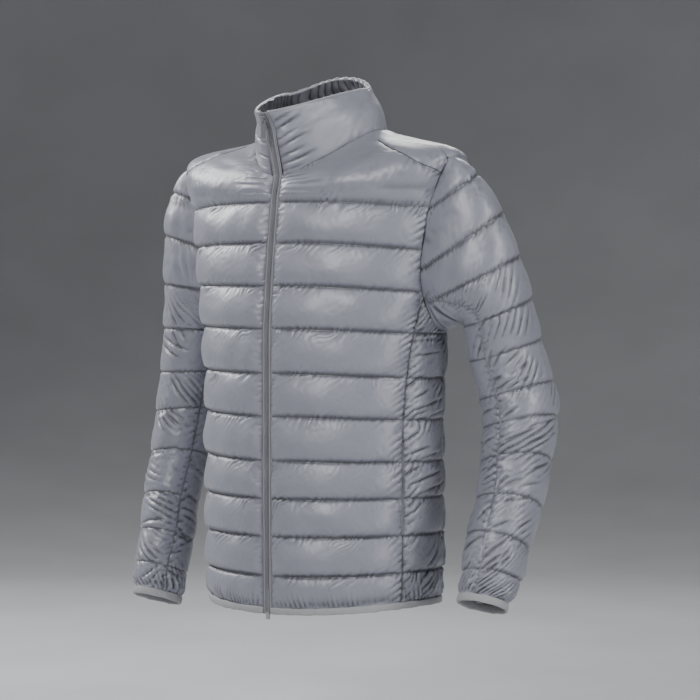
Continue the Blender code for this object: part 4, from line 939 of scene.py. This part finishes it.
def softened(values, times):
    """A grid of values averaged with its four neighbours, time after time."""
    for _ in range(times):
        wide = np.pad(values, 1, mode="edge")
        values = 0.5 * values + 0.125 * (wide[:-2, 1:-1] + wide[2:, 1:-1] + wide[1:-1, :-2] + wide[1:-1, 2:])
    return values


def valleys(height, full):
    """How far each place lies below its surroundings, 1 at the depth full or deeper."""
    return np.clip((softened(height, 14) - height) / full, 0, 1)


def shell(name, outer, inner, normal, x, y, seam, crease):
    """A wall between a fine outer grid and a half as fine inner one, closed along its edges."""
    rows, columns = outer.shape[:2]
    over, top = grid_faces(rows, columns)
    under, low = grid_faces((rows + 1) // 2, (columns + 1) // 2, rows * columns)
    a, b = outline(top), outline(low)
    a0, a1, a2 = a[::2], a[1::2], np.roll(a[::2], -1)
    b0, b1 = b, np.roll(b, -1)
    rim = np.concatenate([np.stack([a1, a0, b0], 1), np.stack([a2, a1, b1], 1), np.stack([a1, b0, b1], 1)])
    if not faces_inwards(outer, normal):
        under = under[:, ::-1]
    else:
        over, rim = over[:, ::-1], rim[:, ::-1]
    faces = [*over.tolist(), *under.tolist(), *rim.tolist()]
    points = np.concatenate([outer.reshape(-1, 3), inner.reshape(-1, 3)])
    laid = np.stack([x, y], -1)
    uv = np.concatenate([laid.reshape(-1, 2), laid[::2, ::2].reshape(-1, 2)])
    lining = np.concatenate([np.zeros(outer[..., 0].size), np.ones(inner[..., 0].size)])
    seam = np.concatenate([seam.ravel(), seam[::2, ::2].ravel()])
    # painted shade: the outer side carries the darkening of its creases, the inner side none
    crease = np.concatenate([crease.ravel(), 0 * crease[::2, ::2].ravel()])
    made = new_mesh(name, points, faces, uv, {"seam": seam, "lining": lining, "crease": crease})
    # the wall's two borders are sharp, so that its faces shade evenly up to the seam
    border = np.zeros(len(points), bool)
    border[a], border[b] = True, True
    ends = np.empty(2 * len(made.data.edges), np.int32)
    made.data.edges.foreach_get("vertices", ends)
    ends = ends.reshape(-1, 2)
    sharp = border[ends].all(1) & ((ends < over.max() + 1).all(1) | (ends > over.max()).all(1))
    made.data.attributes.new("sharp_edge", "BOOLEAN", "EDGE").data.foreach_set("value", sharp)
    return made


def make_panel(panel, seed):
    relief = relief_of(panel, seed)
    panel.surface = panel.points + panel.offset + relief[..., None] * panel.normal
    inner = panel.points[::2, ::2] - WALL * panel.normal[::2, ::2]
    seam = np.exp(-np.minimum(np.abs(panel.near), panel.edge) / 0.006)
    # painted shade: how deep each place lies in a valley of the swelled cloth darkens its colour, fully at
    # the depth full
    full = 0.0010 if panel.name.startswith("s") else 0.0018
    crease = valleys(relief + (panel.offset * panel.normal).sum(-1), full)
    # painted shade in a narrow band along each panel's seams, fainter on the left sleeve
    seam_painted_shade = 0.5 if panel.name.startswith("sleeve_left") else 0.85
    crease = np.maximum(crease, seam_painted_shade * np.exp(-((panel.edge / 0.0016) ** 2))) * (1 - panel.at_join)
    made = shell(panel.name + "_cloth", panel.surface, inner, panel.normal, panel.x, panel.y, seam, crease)
    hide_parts(panel.name)
    return dress(made, CLOTH)


def declare(panel):
    """Works out a panel's area as cut, at most its width times its length; the result is not used."""
    p = panel.points
    crossed = np.cross(p[1:, 1:] - p[:-1, :-1], p[1:, :-1] - p[:-1, 1:])
    area = float(np.linalg.norm(crossed, axis=-1).sum() / 2)
    width, length = float(panel.x[:, -1].max()), float((panel.y[-1] - panel.y[0]).max())
    area = min(area, width * length)


def dress(made, material):
    """Gives a piece its body and its material."""
    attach(made, "jacket")
    made.data.materials.append(material)
    return made


def tube(name, ring_grid, closed, uv=None, values=None):
    """A closed profile carried along a path: rows are places on the path, columns go round the profile."""
    rows, columns = ring_grid.shape[:2]
    index = np.arange(rows * columns).reshape(rows, columns)
    beside = np.roll(index, -1, axis=1)
    if closed:
        after, corner = np.roll(index, -1, axis=0), np.roll(beside, -1, axis=0)
        quads = np.stack([index, beside, corner, after], -1).reshape(-1, 4)
    else:
        quads = np.stack([index[:-1], beside[:-1], beside[1:], index[1:]], -1).reshape(-1, 4)
    points = ring_grid.reshape(-1, 3)
    a, b, c, d = (points[quads[:, k]] for k in range(4))
    centre = np.repeat(ring_grid.mean(1), columns, axis=0)[quads[:, 0]]
    inwards = ((np.cross(c - a, d - b)) * (a - centre)).sum() < 0
    if inwards:
        quads = quads[:, ::-1]
    faces = quads.tolist()
    if not closed:
        first, last = index[0].tolist(), index[-1].tolist()
        faces += [first, last[::-1]] if inwards else [first[::-1], last]
    return new_mesh(name, ring_grid, faces, uv, values)


def many(name, centres, axes, profile):
    """One mesh of many alike closed pieces. profile is (rings, sides, 3) in each piece's own axes."""
    rings, sides = profile.shape[:2]
    count = len(centres)
    points = centres[:, None, None] + np.einsum("rsk,nkj->nrsj", profile, axes)
    index = np.arange(rings * sides).reshape(rings, sides)
    beside = np.roll(index, -1, axis=1)
    quads = np.stack([index[:-1], beside[:-1], beside[1:], index[1:]], -1).reshape(-1, 4)
    start = np.arange(count)[:, None, None] * rings * sides
    faces = (quads[None] + start).reshape(-1, 4).tolist()
    faces += (index[0, ::-1][None] + start[:, 0]).tolist()
    faces += (index[-1][None] + start[:, 0]).tolist()
    return new_mesh(name, points, faces)


BAR_RINGS, BAR_SWELL = (0.0, 0.14, 0.86, 1.0), (0.40, 1.0, 1.0, 0.40)


def capsule(length, width, thick, sides=6, rings=BAR_RINGS, ends=BAR_SWELL):
    """A small rounded bar along its first axis, from -length/2 to length/2."""
    angle = np.arange(sides) * 2 * math.pi / sides + math.pi / sides
    x = (np.array(rings) - 0.5) * length
    swell = np.array(ends)
    return np.stack(
        [
            np.broadcast_to(x[:, None], (len(rings), sides)),
            swell[:, None] * np.cos(angle) * width / 2,
            swell[:, None] * np.sin(angle) * thick / 2,
        ],
        -1,
    )


def lengths(points):
    """Lengths along a line of points, from 0."""
    return np.concatenate([[0], np.cumsum(np.linalg.norm(np.diff(points, axis=0), axis=1))])


def along_path(points, spacing, start=0.0):
    """Evenly spaced places on a line of points, as fractional indices."""
    length = lengths(points)
    return np.interp(np.arange(start, length[-1], spacing), length, np.arange(len(points)))


def at(values, index):
    i = np.minimum(index.astype(int), len(values) - 2)
    t = (index - i)[:, None]
    return values[i] * (1 - t) + values[i + 1] * t


# ---------------------------------------------------------------- materials
class Nodes:
    """Short names for making nodes and links in one tree."""

    def __init__(self, tree):
        self.tree = tree

    def add(self, kind, inputs=None, **settings):
        node = self.tree.nodes.new("ShaderNode" + kind)
        for key, value in settings.items():
            setattr(node, key, value)
        for key, value in (inputs or {}).items():
            if isinstance(value, bpy.types.NodeSocket):
                self.tree.links.new(value, node.inputs[key])
            else:
                node.inputs[key].default_value = value
        return node

    def maths(self, operation, a, b=0.0):
        return self.add("Math", {0: a, 1: b}, operation=operation).outputs[0]


def cloth_group():
    """Colour, roughness and normal of smooth down-proof nylon: faint mottling, a faint fine unevenness in the
    normal, and short gathers where the seam mask is high."""
    group = bpy.data.node_groups.new("nylon", "ShaderNodeTree")
    for name, kind in (("Colour", "NodeSocketColor"), ("Gathers", "NodeSocketFloat")):
        group.interface.new_socket(name, in_out="INPUT", socket_type=kind)
    put_out = {"Colour": "NodeSocketColor", "Roughness": "NodeSocketFloat", "Normal": "NodeSocketVector"}
    for name, kind in put_out.items():
        group.interface.new_socket(name, in_out="OUTPUT", socket_type=kind)
    n = Nodes(group)
    taken, given = group.nodes.new("NodeGroupInput"), group.nodes.new("NodeGroupOutput")
    uv = n.add("UVMap", uv_map="cloth").outputs[0]
    seam = n.add("Attribute", attribute_name="seam").outputs["Fac"]
    mottle = n.add("TexNoise", {"Vector": uv, "Scale": 28.0, "Detail": 3.0}).outputs["Fac"]
    shade = n.maths("MULTIPLY_ADD", mottle, 0.16)
    shade.node.inputs[2].default_value = 0.92
    # painted shade in creases and along seam edges: the colour is darkened by up to 72% where the attribute
    # is 1
    crease = n.add("Attribute", attribute_name="crease").outputs["Fac"]
    shade = n.maths("MULTIPLY", shade, n.maths("SUBTRACT", 1.0, n.maths("MULTIPLY", crease, 0.72)))
    both = {"Factor": 1.0, 6: taken.outputs["Colour"], 7: shade}
    tint = n.add("Mix", both, data_type="RGBA", blend_type="MULTIPLY")
    n.tree.links.new(tint.outputs[2], given.inputs["Colour"])
    rough = n.maths("MULTIPLY_ADD", mottle, 0.12)
    rough.node.inputs[2].default_value = 0.35
    n.tree.links.new(rough, given.inputs["Roughness"])
    stretched = n.add("Mapping", {"Vector": uv, "Scale": (1.0, 0.35, 1.0)}).outputs[0]
    wrinkles = {"Vector": stretched, "Scale": 260.0, "Detail": 2.0, "Roughness": 0.5}
    gathers = n.add("TexNoise", wrinkles).outputs["Fac"]
    deep = n.maths("MULTIPLY", seam, taken.outputs["Gathers"])
    first = n.add("Bump", {"Strength": deep, "Distance": 0.0010, "Height": gathers})
    slack = n.add("TexNoise", {"Vector": uv, "Scale": 70.0, "Detail": 2.0, "Distortion": 0.6}).outputs["Fac"]
    finer = {"Strength": 0.10, "Distance": 0.0010, "Height": slack, "Normal": first.outputs[0]}
    second = n.add("Bump", finer)
    n.tree.links.new(second.outputs[0], given.inputs["Normal"])
    return group


def cloth_material(name, colour, gathers, coat=0.0):
    """Nylon with its own colour; its lining side is the same cloth painted darker, as painted shade inside
    the garment.
    """
    material = bpy.data.materials.new(name)
    material.use_nodes = True
    n = Nodes(material.node_tree)
    shader = n.tree.nodes["Principled BSDF"]
    face = n.add("Group", {}, node_tree=NYLON)
    face.inputs["Gathers"].default_value = gathers
    face.inputs["Colour"].default_value = (*colour, 1.0)
    lining = n.add("Attribute", attribute_name="lining").outputs["Fac"]
    # painted shade: the lining side takes a dark copy of the cloth's colour
    dark = n.add("Mix", {"Factor": lining, 6: face.outputs["Colour"]}, data_type="RGBA")
    dark.inputs[7].default_value = (0.10, 0.105, 0.12, 1.0)
    n.tree.links.new(dark.outputs[2], shader.inputs["Base Color"])
    n.tree.links.new(face.outputs["Roughness"], shader.inputs["Roughness"])
    n.tree.links.new(face.outputs["Normal"], shader.inputs["Normal"])
    shader.inputs["Sheen Weight"].default_value = 0.15
    shader.inputs["Sheen Roughness"].default_value = 0.4
    shader.inputs["Coat Weight"].default_value = coat
    shader.inputs["Coat Roughness"].default_value = 0.38
    shader.inputs["Specular IOR Level"].default_value = 0.75
    return material


def plain_material(name, colour, roughness, metallic=0.0, scale=900.0, bump=0.2):
    """A solid colour with slight variation and a fine grain in the normal."""
    material = bpy.data.materials.new(name)
    material.use_nodes = True
    n = Nodes(material.node_tree)
    shader = n.tree.nodes["Principled BSDF"]
    place = n.add("TexCoord").outputs["Object"]
    grain = n.add("TexNoise", {"Vector": place, "Scale": scale, "Detail": 2.0}).outputs["Fac"]
    darker = (*[0.8 * c for c in colour], 1.0)
    tint = n.add("Mix", {"Factor": grain, 6: darker, 7: (*colour, 1.0)}, data_type="RGBA")
    n.tree.links.new(tint.outputs[2], shader.inputs["Base Color"])
    raised = n.add("Bump", {"Strength": bump, "Distance": 0.0003, "Height": grain})
    n.tree.links.new(raised.outputs[0], shader.inputs["Normal"])
    shader.inputs["Roughness"].default_value = roughness
    shader.inputs["Metallic"].default_value = metallic
    return material


def tape_material_with_painted_shadow():
    """Woven tape with painted shadow: dark wavy lines where |x| is near a line, beside the coil and under the
    cloth's edge; x is metres across the zip.
    """
    material = plain_material("zip_tape", (0.33, 0.335, 0.365), 0.75, scale=1800.0, bump=0.5)
    n = Nodes(material.node_tree)
    shader = n.tree.nodes["Principled BSDF"]
    uv = n.add("UVMap", uv_map="cloth").outputs[0]
    wander = n.add("TexNoise", {"Vector": uv, "Scale": 90.0, "Detail": 1.0}).outputs["Fac"]
    across = n.maths("ABSOLUTE", n.add("SeparateXYZ", {0: uv}).outputs[0])
    across = n.maths("ADD", across, n.maths("MULTIPLY", n.maths("SUBTRACT", wander, 0.5), 0.0016))
    line = n.maths("COSINE", n.maths("MULTIPLY", n.maths("SUBTRACT", across, 0.0033), 2 * math.pi / 0.0034))
    dark = n.maths("MULTIPLY", n.maths("MAXIMUM", n.maths("SUBTRACT", line, 0.4), 0.0), 1.4)
    woven = shader.inputs["Base Color"].links[0].from_socket
    painted_shadow_lines = n.add("Mix", {"Factor": dark, 6: woven, 7: (0.05, 0.052, 0.06, 1.0)}, data_type="RGBA")
    n.tree.links.new(painted_shadow_lines.outputs[2], shader.inputs["Base Color"])
    return material


NYLON = cloth_group()
CLOTH = cloth_material("satin_nylon", (0.258, 0.263, 0.313), 0.6, coat=0.12)
COLLAR_LINING = cloth_material("collar_lining", (0.13, 0.132, 0.155), 0.6, coat=0.35)
# the rolled edge is the shell's nylon made lighter: a painted highlight along the collar's top
COLLAR_ROLL = cloth_material("collar_roll", (0.30, 0.305, 0.34), 0.8, coat=0.2)
BINDING = plain_material("elastic_binding", (0.40, 0.405, 0.42), 0.7, scale=1400.0, bump=0.5)
TAPE = tape_material_with_painted_shadow()
TEETH = plain_material("coil_teeth", (0.30, 0.304, 0.33), 0.45, scale=1200.0)
THREAD = plain_material("thread", (0.22, 0.225, 0.25), 0.7, scale=2500.0)
# near-black cord for the forward shoulder seam: the stitching plus painted shade in its groove
SEAM_SHADE_CORD = plain_material("seam_thread", (0.07, 0.072, 0.085), 0.8, scale=2500.0)
METAL = plain_material("slider_metal", (0.26, 0.264, 0.28), 0.42, metallic=0.4, scale=700.0)
BOX = plain_material("box_nylon", (0.42, 0.425, 0.44), 0.6, scale=900.0)


# ---------------------------------------------------------------- the collar
COLLAR_TOP = len(COLLAR_RINGS) - 1
COLLAR_EDGE = math.degrees(math.asin((ZIP_EDGE + SEAM) / COLLAR_RINGS[-1, 4]))


def collar_grid(columns, rows):
    angle, ring = np.meshgrid(np.linspace(COLLAR_EDGE, 360 - COLLAR_EDGE, columns), rows)
    return angle, ring, collar_point(angle, ring), collar_normals(angle, ring)


def collar_panel():
    angle, ring, points, normal = collar_grid(241, np.linspace(0.0, COLLAR_TOP, 37))
    quilt = (ring - ring[0]) / (ring[-1] - ring[0])
    points[0] += 0.0007 * normal[0] - (0, 0, 0.0016)
    return Panel("collar", points, normal, quilt)


def make_collar_inside():
    """The lining side of the collar, gathered into upright folds below a rolled edge."""
    angle, ring, points, normal = collar_grid(321, np.linspace(0.012, COLLAR_TOP, 31))
    x, y = metric(points)
    wander = 0.003 * waves(x, y, 61, 0.04, 0.09)
    folds = np.abs(np.sin(math.pi * (x + wander) / 0.0135 + 0.9 * waves(x, 0 * y, 62, 0.05, 0.12)))
    height = y / y[-1]
    depth = 0.0042 * np.interp(height, (0, 0.25, 0.85, 1.0), (0.4, 0.7, 1.0, 0.8))
    back = np.clip(0.35 + 0.65 * -np.cos(np.radians(angle)) + 0.3, 0.35, 1)
    rise = depth * back * (folds**0.6) + 0.0006 * waves(x, y, 63, 0.015, 0.04)
    visible = points - (WALL + SEAM + 0.0012 + np.maximum(rise, 0))[..., None] * normal
    hidden = (points - (WALL + SEAM) * normal)[::2, ::2]
    near_fold = np.clip(1 - folds, 0, 1)
    # painted shade in the valleys between the lining's folds
    made = shell("collar_lining", visible, hidden, -normal, x, y, near_fold, valleys(rise, 0.0012))
    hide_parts("collar_inner")
    dress(made, COLLAR_LINING)
    # rolled edge that joins the collar's two layers along its top
    edge_angle = np.linspace(COLLAR_EDGE, 360 - COLLAR_EDGE, 420)
    top = np.full(edge_angle.shape, float(COLLAR_TOP))
    rim, out = collar_point(edge_angle, top), collar_normals(edge_angle, top)
    run = lengths(rim)
    rear = np.clip(0.5 - 0.75 * np.cos(np.radians(edge_angle)), 0, 1)
    scallop = np.abs(np.sin(math.pi * run / 0.0135 + 0.9 * waves(run, 0 * run, 62, 0.05, 0.12))) ** 0.7
    radius = 0.0016 + rear * (0.0004 + 0.0022 * (scallop - 0.35))
    up = unit(rim - collar_point(edge_angle, top - 0.1))
    turn = np.linspace(0, 2 * math.pi, 15)[:-1]
    middle = rim - (0.5 * WALL + 0.0008) * out - 0.0007 * up
    ring = middle[:, None] + radius[:, None, None] * (
        1.12 * np.cos(turn)[:, None] * out[:, None] + np.sin(turn)[:, None] * up[:, None]
    )
    uv = np.stack(np.broadcast_arrays(run[:, None], 0.002 * turn), -1)
    masks = {"seam": np.full(ring.shape[:2], 0.7), "lining": np.zeros(ring.shape[:2])}
    roll = tube("collar_rolled_edge", ring, False, uv, masks)
    dress(roll, COLLAR_ROLL)


# ---------------------------------------------------------------- bindings
def ribbed(name, base, outwards, along, height, closed, node, ribs=0.0021):
    """A folded elastic binding: a rounded oblong section, ribbed and slightly gathered along its length."""
    run = lengths(base)
    turn = np.linspace(0, 2 * math.pi, 17)[:-1]
    c, s = np.cos(turn), np.sin(turn)
    uneven = 0.0002 * waves(run, 0 * run, 71, 0.006, 0.02)
    thick = 0.0019 + 0.00022 * np.sin(2 * math.pi * run / ribs) + uneven
    tall = height / 2 + 0.00025 * waves(run, 0 * run, 72, 0.01, 0.03)
    x = thick[:, None] * np.sign(c) * np.abs(c) ** 0.7
    z = tall[:, None] * np.sign(s) * np.abs(s) ** 0.45
    ring = base[:, None] + x[..., None] * outwards[:, None] + (z[..., None] + height / 2) * along[:, None]
    made = tube(name, ring, closed)
    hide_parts(node)
    return dress(made, BINDING)


def make_hem():
    edge = math.degrees(math.asin((ZIP_EDGE + SEAM) / BODY_RINGS[0, 4]))
    angle = np.linspace(edge, 360 - edge, 1500)
    base = body_point(angle, np.zeros(angle.shape))
    outwards = unit(body_normals(angle, np.zeros(angle.shape)) * (1, 1, 0))
    up = np.broadcast_to((0.0, 0.0, 1.0), base.shape)
    base = base + 0.0022 * outwards
    return ribbed("hem_elastic", base, outwards, up, HEM_BINDING + 0.0006, False, "hem_binding")


def make_cuffs(ends):
    made = []
    for word, surface, axis, loops in ends:
        phi = np.linspace(0, 360, 701)[:-1]
        place = np.full(phi.shape, float(loops))
        edge = surface(phi, place)
        outwards = normals(surface, phi, place - 0.02, 1.0, 0.01, axis)
        middle = axis(phi, place)
        along = unit(np.cross(edge[175] - middle[0], edge[0] - middle[0]))
        along = along * (-1.0 if along[2] > 0 else 1.0)
        along = np.broadcast_to(along, edge.shape)
        cuff, node = f"cuff_{word}_elastic", f"cuff_binding_{word}"
        made.append(ribbed(cuff, edge, outwards, along, CUFF_BINDING, True, node, 0.0024))
    return made


# ---------------------------------------------------------------- zip
def front_line(start, count):
    body = body_point(np.zeros(count), np.linspace(start, NECKLINE, count))
    collar_count = max(8, count // 6)
    rows = np.linspace(0, COLLAR_TOP, collar_count)[1:]
    points = np.concatenate([body, collar_point(np.zeros(len(rows)), rows)])
    along = unit(np.gradient(points, axis=0))
    return points, along, np.stack([0 * along[:, 0], -along[:, 2], along[:, 1]], axis=1)


def strip(name, points, across, outward, low, high, depth_low, depth_high, node):
    """A flat tape along a line, with thin edges."""
    shares = np.linspace(0, 1, 9)
    top = np.full(shares.shape, depth_high)
    top[[0, -1]] = (depth_low + depth_high) / 2
    x = np.concatenate([low + (high - low) * shares, high + (low - high) * shares[1:-1]])
    z = np.concatenate([top, np.full(7, depth_low)])
    ring = points[:, None] + x[:, None] * across[:, None] + z[:, None] * outward[:, None]
    run = np.arange(len(points)) * 0.002
    uv = np.stack(np.broadcast_arrays(x, run[:, None]), -1)
    made = tube(name, ring, False, uv)
    if node:
        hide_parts(node)
    return dress(made, TAPE)


def coil(name, points, along, across, outward, half, depth, pitch, node):
    """Two rows of coil loops that mesh along a line, each loop a small rounded bar across."""
    rows = []
    for side in (-1, 1):
        index = along_path(points, pitch, pitch / 2 * (side > 0) + 0.0002)
        here, up, out = at(points, index), unit(at(along, index)), unit(at(outward, index))
        sideways = unit(at(across, index))
        lean = unit(sideways + side * 0.12 * up)
        centre = here + side * 0.42 * half * sideways + depth * out
        rows.append((centre, np.stack([lean, np.cross(out, lean), out], 1)))
    centres = np.concatenate([r[0] for r in rows])
    axes = np.concatenate([r[1] for r in rows])
    made = many(name, centres, axes, capsule(1.15 * half, 0.62 * pitch, 0.0014))
    if node:
        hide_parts(node)
    return dress(made, TEETH)


def make_front_zip():
    points, along, outward = front_line(0.0, 300)
    across = np.broadcast_to((1.0, 0.0, 0.0), points.shape)
    tapes = {}
    for word, low, high in (("left", 0.0017, ZIP_EDGE + 0.0014), ("right", -ZIP_EDGE - 0.0014, -0.0017)):
        name = f"zip_{word}_woven"
        tapes[word] = strip(name, points, across, outward, low, high, -0.0009, 0.0001, f"zip_tape_{word}")
    points, along, outward = front_line(0.05, 300)
    across = np.broadcast_to((1.0, 0.0, 0.0), points.shape)
    backing = strip("zip_coil_cord", points, across, outward, -0.0010, 0.0010, -0.0009, 0.0001, None)
    coil("zip_coil", points, along, across, outward, 0.0026, 0.0006, 0.0015, "zip_chain")
    return tapes


def make_pockets():
    tapes = {}
    for word, side in (("left", 1), ("right", -1)):
        ring = np.linspace(POCKET_LOW + 0.02, POCKET_HIGH - 0.02, 120)
        angle = side_seam(ring, side)
        points = body_point(side * angle, ring)
        outward = body_normals(side * angle, ring)
        across = unit(body_point(side * angle + 0.5, ring) - body_point(side * angle - 0.5, ring))
        along = unit(np.gradient(points, axis=0))
        node = f"pocket_zip_{word}"
        name, half = f"pocket_{word}_tape", POCKET_HALF
        tapes[word] = strip(name, points, across, outward, -half, half, -0.0016, -0.0009, node)
        coil(f"pocket_{word}_coil", points, along, across, outward, 0.0018, -0.0003, 0.0015, node)
    return tapes


# ---------------------------------------------------------------- sewing
def stitches(name, lines, length=0.0024, spacing=0.0034):
    """Short threads lying along lines of (points, outward normals)."""
    centres, axes = [], []
    for points, outward in lines:
        index = along_path(points, spacing, spacing / 2)
        if len(index) < 3 or len(points) < 4:
            continue
        direction = unit(at(np.gradient(points, axis=0), index))
        out = unit(at(outward, index))
        side = unit(np.cross(out, direction))
        centres.append(at(points, index) + 0.00012 * out)
        axes.append(np.stack([direction, side, np.cross(direction, side)], 1))
    thread = capsule(length, 0.00055, 0.00045, 4, (0.0, 0.5, 1.0), (0.45, 1.0, 0.45))
    made = many(name, np.concatenate(centres), np.concatenate(axes), thread)
    return dress(made, THREAD)


def quilting_lines(panel):
    """The line of each quilting seam over a panel's finished surface, column by column."""
    lines = []
    rows, columns = panel.quilt.shape
    for number in range(1, int(np.ceil(panel.quilt.max()))):
        above = panel.quilt >= number
        if panel.quilt[0].mean() > panel.quilt[-1].mean():
            above = ~above
        crossing = (~above[:-1]) & above[1:]
        has = crossing.any(0)
        row = crossing.argmax(0)
        c = np.arange(columns)
        low, high = panel.quilt[row, c], panel.quilt[row + 1, c]
        t = np.clip((number - low) / np.where(high == low, 1, high - low), 0, 1)[:, None]
        points = panel.surface[row, c] * (1 - t) + panel.surface[row + 1, c] * t
        edges = np.flatnonzero(np.diff(np.concatenate([[0], has.astype(int), [0]])))
        for first, last in edges.reshape(-1, 2):
            if last - first > 6:
                lines.append((points[first:last], panel.normal[row, c][first:last]))
    return lines


def on_surface(values, row, column):
    """A panel's grid of values read between its rows and columns."""
    i = np.clip(row.astype(int), 0, values.shape[0] - 2)
    j = np.clip(column.astype(int), 0, values.shape[1] - 2)
    s, t = (row - i)[:, None], (column - j)[:, None]
    low = values[i, j] * (1 - t) + values[i, j + 1] * t
    return low * (1 - s) + (values[i + 1, j] * (1 - t) + values[i + 1, j + 1] * t) * s


def make_shoulder_seam(panel, side):
    """A thin cord sunk along the forward shoulder seam, on the front's finished surface: it stands for the
    stitching and, near-black, paints the shade in the seam's groove.
    """
    _, angle, ring = shoulder_seam_line(side)
    row = np.interp(ring, panel.ring[:, 0], np.arange(len(panel.ring)))
    first, last = at(panel.angle[:, :1], row)[:, 0], at(panel.angle[:, -1:], row)[:, 0]
    share = (angle - first) / (last - first)
    kept = (share > 0) & (share < 1)
    row, column = row[kept], share[kept] * (panel.angle.shape[1] - 1)
    points, out = on_surface(panel.surface, row, column), unit(on_surface(panel.normal, row, column))
    beside = unit(np.cross(unit(np.gradient(points, axis=0)), out))
    turn = np.linspace(0, 2 * math.pi, 7)[:-1]
    c, s = np.cos(turn)[:, None], np.sin(turn)[:, None]
    ring_grid = points[:, None] + 0.00055 * (c * beside[:, None] + s * out[:, None])
    word = "left" if side > 0 else "right"
    return dress(tube(f"shoulder_seam_{word}", ring_grid, False), SEAM_SHADE_CORD)


# ---------------------------------------------------------------- stage, light and camera
def look_at(made, place, target):
    made.location = place
    made.rotation_euler = (Vector(target) - Vector(place)).to_track_quat("-Z", "Y").to_euler()


def towards(azimuth, elevation):
    """The direction from the jacket to a place at these two angles, in degrees."""
    a, e = math.radians(azimuth), math.radians(elevation)
    return Vector((math.sin(a) * math.cos(e), -math.cos(a) * math.cos(e), math.sin(e)))


LIGHT_TARGET, LIGHT_DISTANCE = (0.0, 0.0, -0.25), 2.8
# The area lights: name, azimuth, elevation, width and height, and power in watts.
LIGHTS = (
    ("key", -84.0, 34.0, (1.0, 1.4), 80.0),
    ("front_top", 6.0, 31.0, (0.6, 1.1), 40.0),
    ("right_top", 84.0, 31.0, (0.5, 0.9), 27.0),
    ("right_low", 70.0, 2.0, (0.5, 1.4), 17.0),
    ("back_top", 205.0, 38.0, (1.2, 1.0), 32.0),
)


def area_light(name, azimuth, elevation, size, power):
    light = bpy.data.lights.new(name, "AREA")
    light.shape = "RECTANGLE"
    light.size, light.size_y = size
    light.energy = power
    made = bpy.data.objects.new(name, light)
    bpy.context.scene.collection.objects.link(made)
    look_at(made, towards(azimuth, elevation) * LIGHT_DISTANCE + Vector(LIGHT_TARGET), LIGHT_TARGET)


def make_stage():
    """A pale round floor that sweeps up into a wall all round: a profile turned about the upright axis."""
    bend = np.linspace(0, math.pi / 2, 40)
    radius = np.concatenate([np.linspace(0.05, 3.0, 30), 3.0 + 3.2 * np.sin(bend[1:]), [6.2, 6.2]])
    height = np.concatenate([np.zeros(30), 3.2 - 3.2 * np.cos(bend[1:]), [4.5, 6.0]]) - 0.92
    turn = np.linspace(0, 2 * math.pi, 129)[:-1]
    across, deep = np.outer(radius, np.cos(turn)), np.outer(radius, np.sin(turn))
    grid = np.stack(np.broadcast_arrays(across, deep, height[:, None]), -1)
    index = np.arange(grid[..., 0].size).reshape(grid.shape[:2])
    beside = np.roll(index, -1, axis=1)
    faces = np.stack([index[:-1], index[1:], beside[1:], beside[:-1]], -1).reshape(-1, 4)
    made = new_mesh("studio_bowl", grid, [*faces.tolist(), index[0].tolist()])
    made.data.materials.append(plain_material("pale_paper", (0.58, 0.59, 0.61), 0.95, scale=3.0, bump=0.0))


def make_camera():
    azimuth, elevation, distance = 36.0, 1.0, 3.5
    right = Vector((math.cos(math.radians(azimuth)), math.sin(math.radians(azimuth)), 0.0))
    target = Vector((0.0, 0.0, -0.282)) + right * 0.036
    camera = bpy.data.cameras.new("camera")
    camera.lens, camera.sensor_width = 125.0, 36.0
    made = bpy.data.objects.new("camera", camera)
    bpy.context.scene.collection.objects.link(made)
    look_at(made, target + towards(azimuth, elevation) * distance, target)
    bpy.context.scene.camera = made


def make_world():
    world = bpy.data.worlds.new("studio")
    world.use_nodes = True
    world.node_tree.nodes["Background"].inputs[0].default_value = (0.80, 0.85, 0.92, 1.0)
    world.node_tree.nodes["Background"].inputs[1].default_value = 0.05
    bpy.context.scene.world = world


# ---------------------------------------------------------------- the whole jacket
panels = make_panels()
sleeves, sleeve_ends = make_sleeves()
collar = collar_panel()
everything = [*panels, *sleeves, collar]
fill(everything)
cloths = {panel.name: make_panel(panel, 100 + 10 * number) for number, panel in enumerate(everything)}
make_collar_inside()
hem = make_hem()
cuffs = make_cuffs(sleeve_ends)
zip_tapes = make_front_zip()
pocket_tapes = make_pockets()
shoulder_seams = [make_shoulder_seam(panels[0], 1), make_shoulder_seam(panels[1], -1)]
for panel in everything:
    declare(panel)
stitches("body_quilting", [line for panel in panels for line in quilting_lines(panel)])
stitches("sleeve_quilting", [line for panel in sleeves for line in quilting_lines(panel)])

for node in ("zip_slider", "zip_pull", "zip_box"):
    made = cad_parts[node]
    made.data.materials.clear()
    made.data.materials.append(BOX if node == "zip_box" else METAL)
    bevel = made.modifiers.new("rounded", "BEVEL")
    bevel.width, bevel.segments = 0.0003, 2

make_stage()
for light in LIGHTS:
    area_light(*light)
make_world()
make_camera()
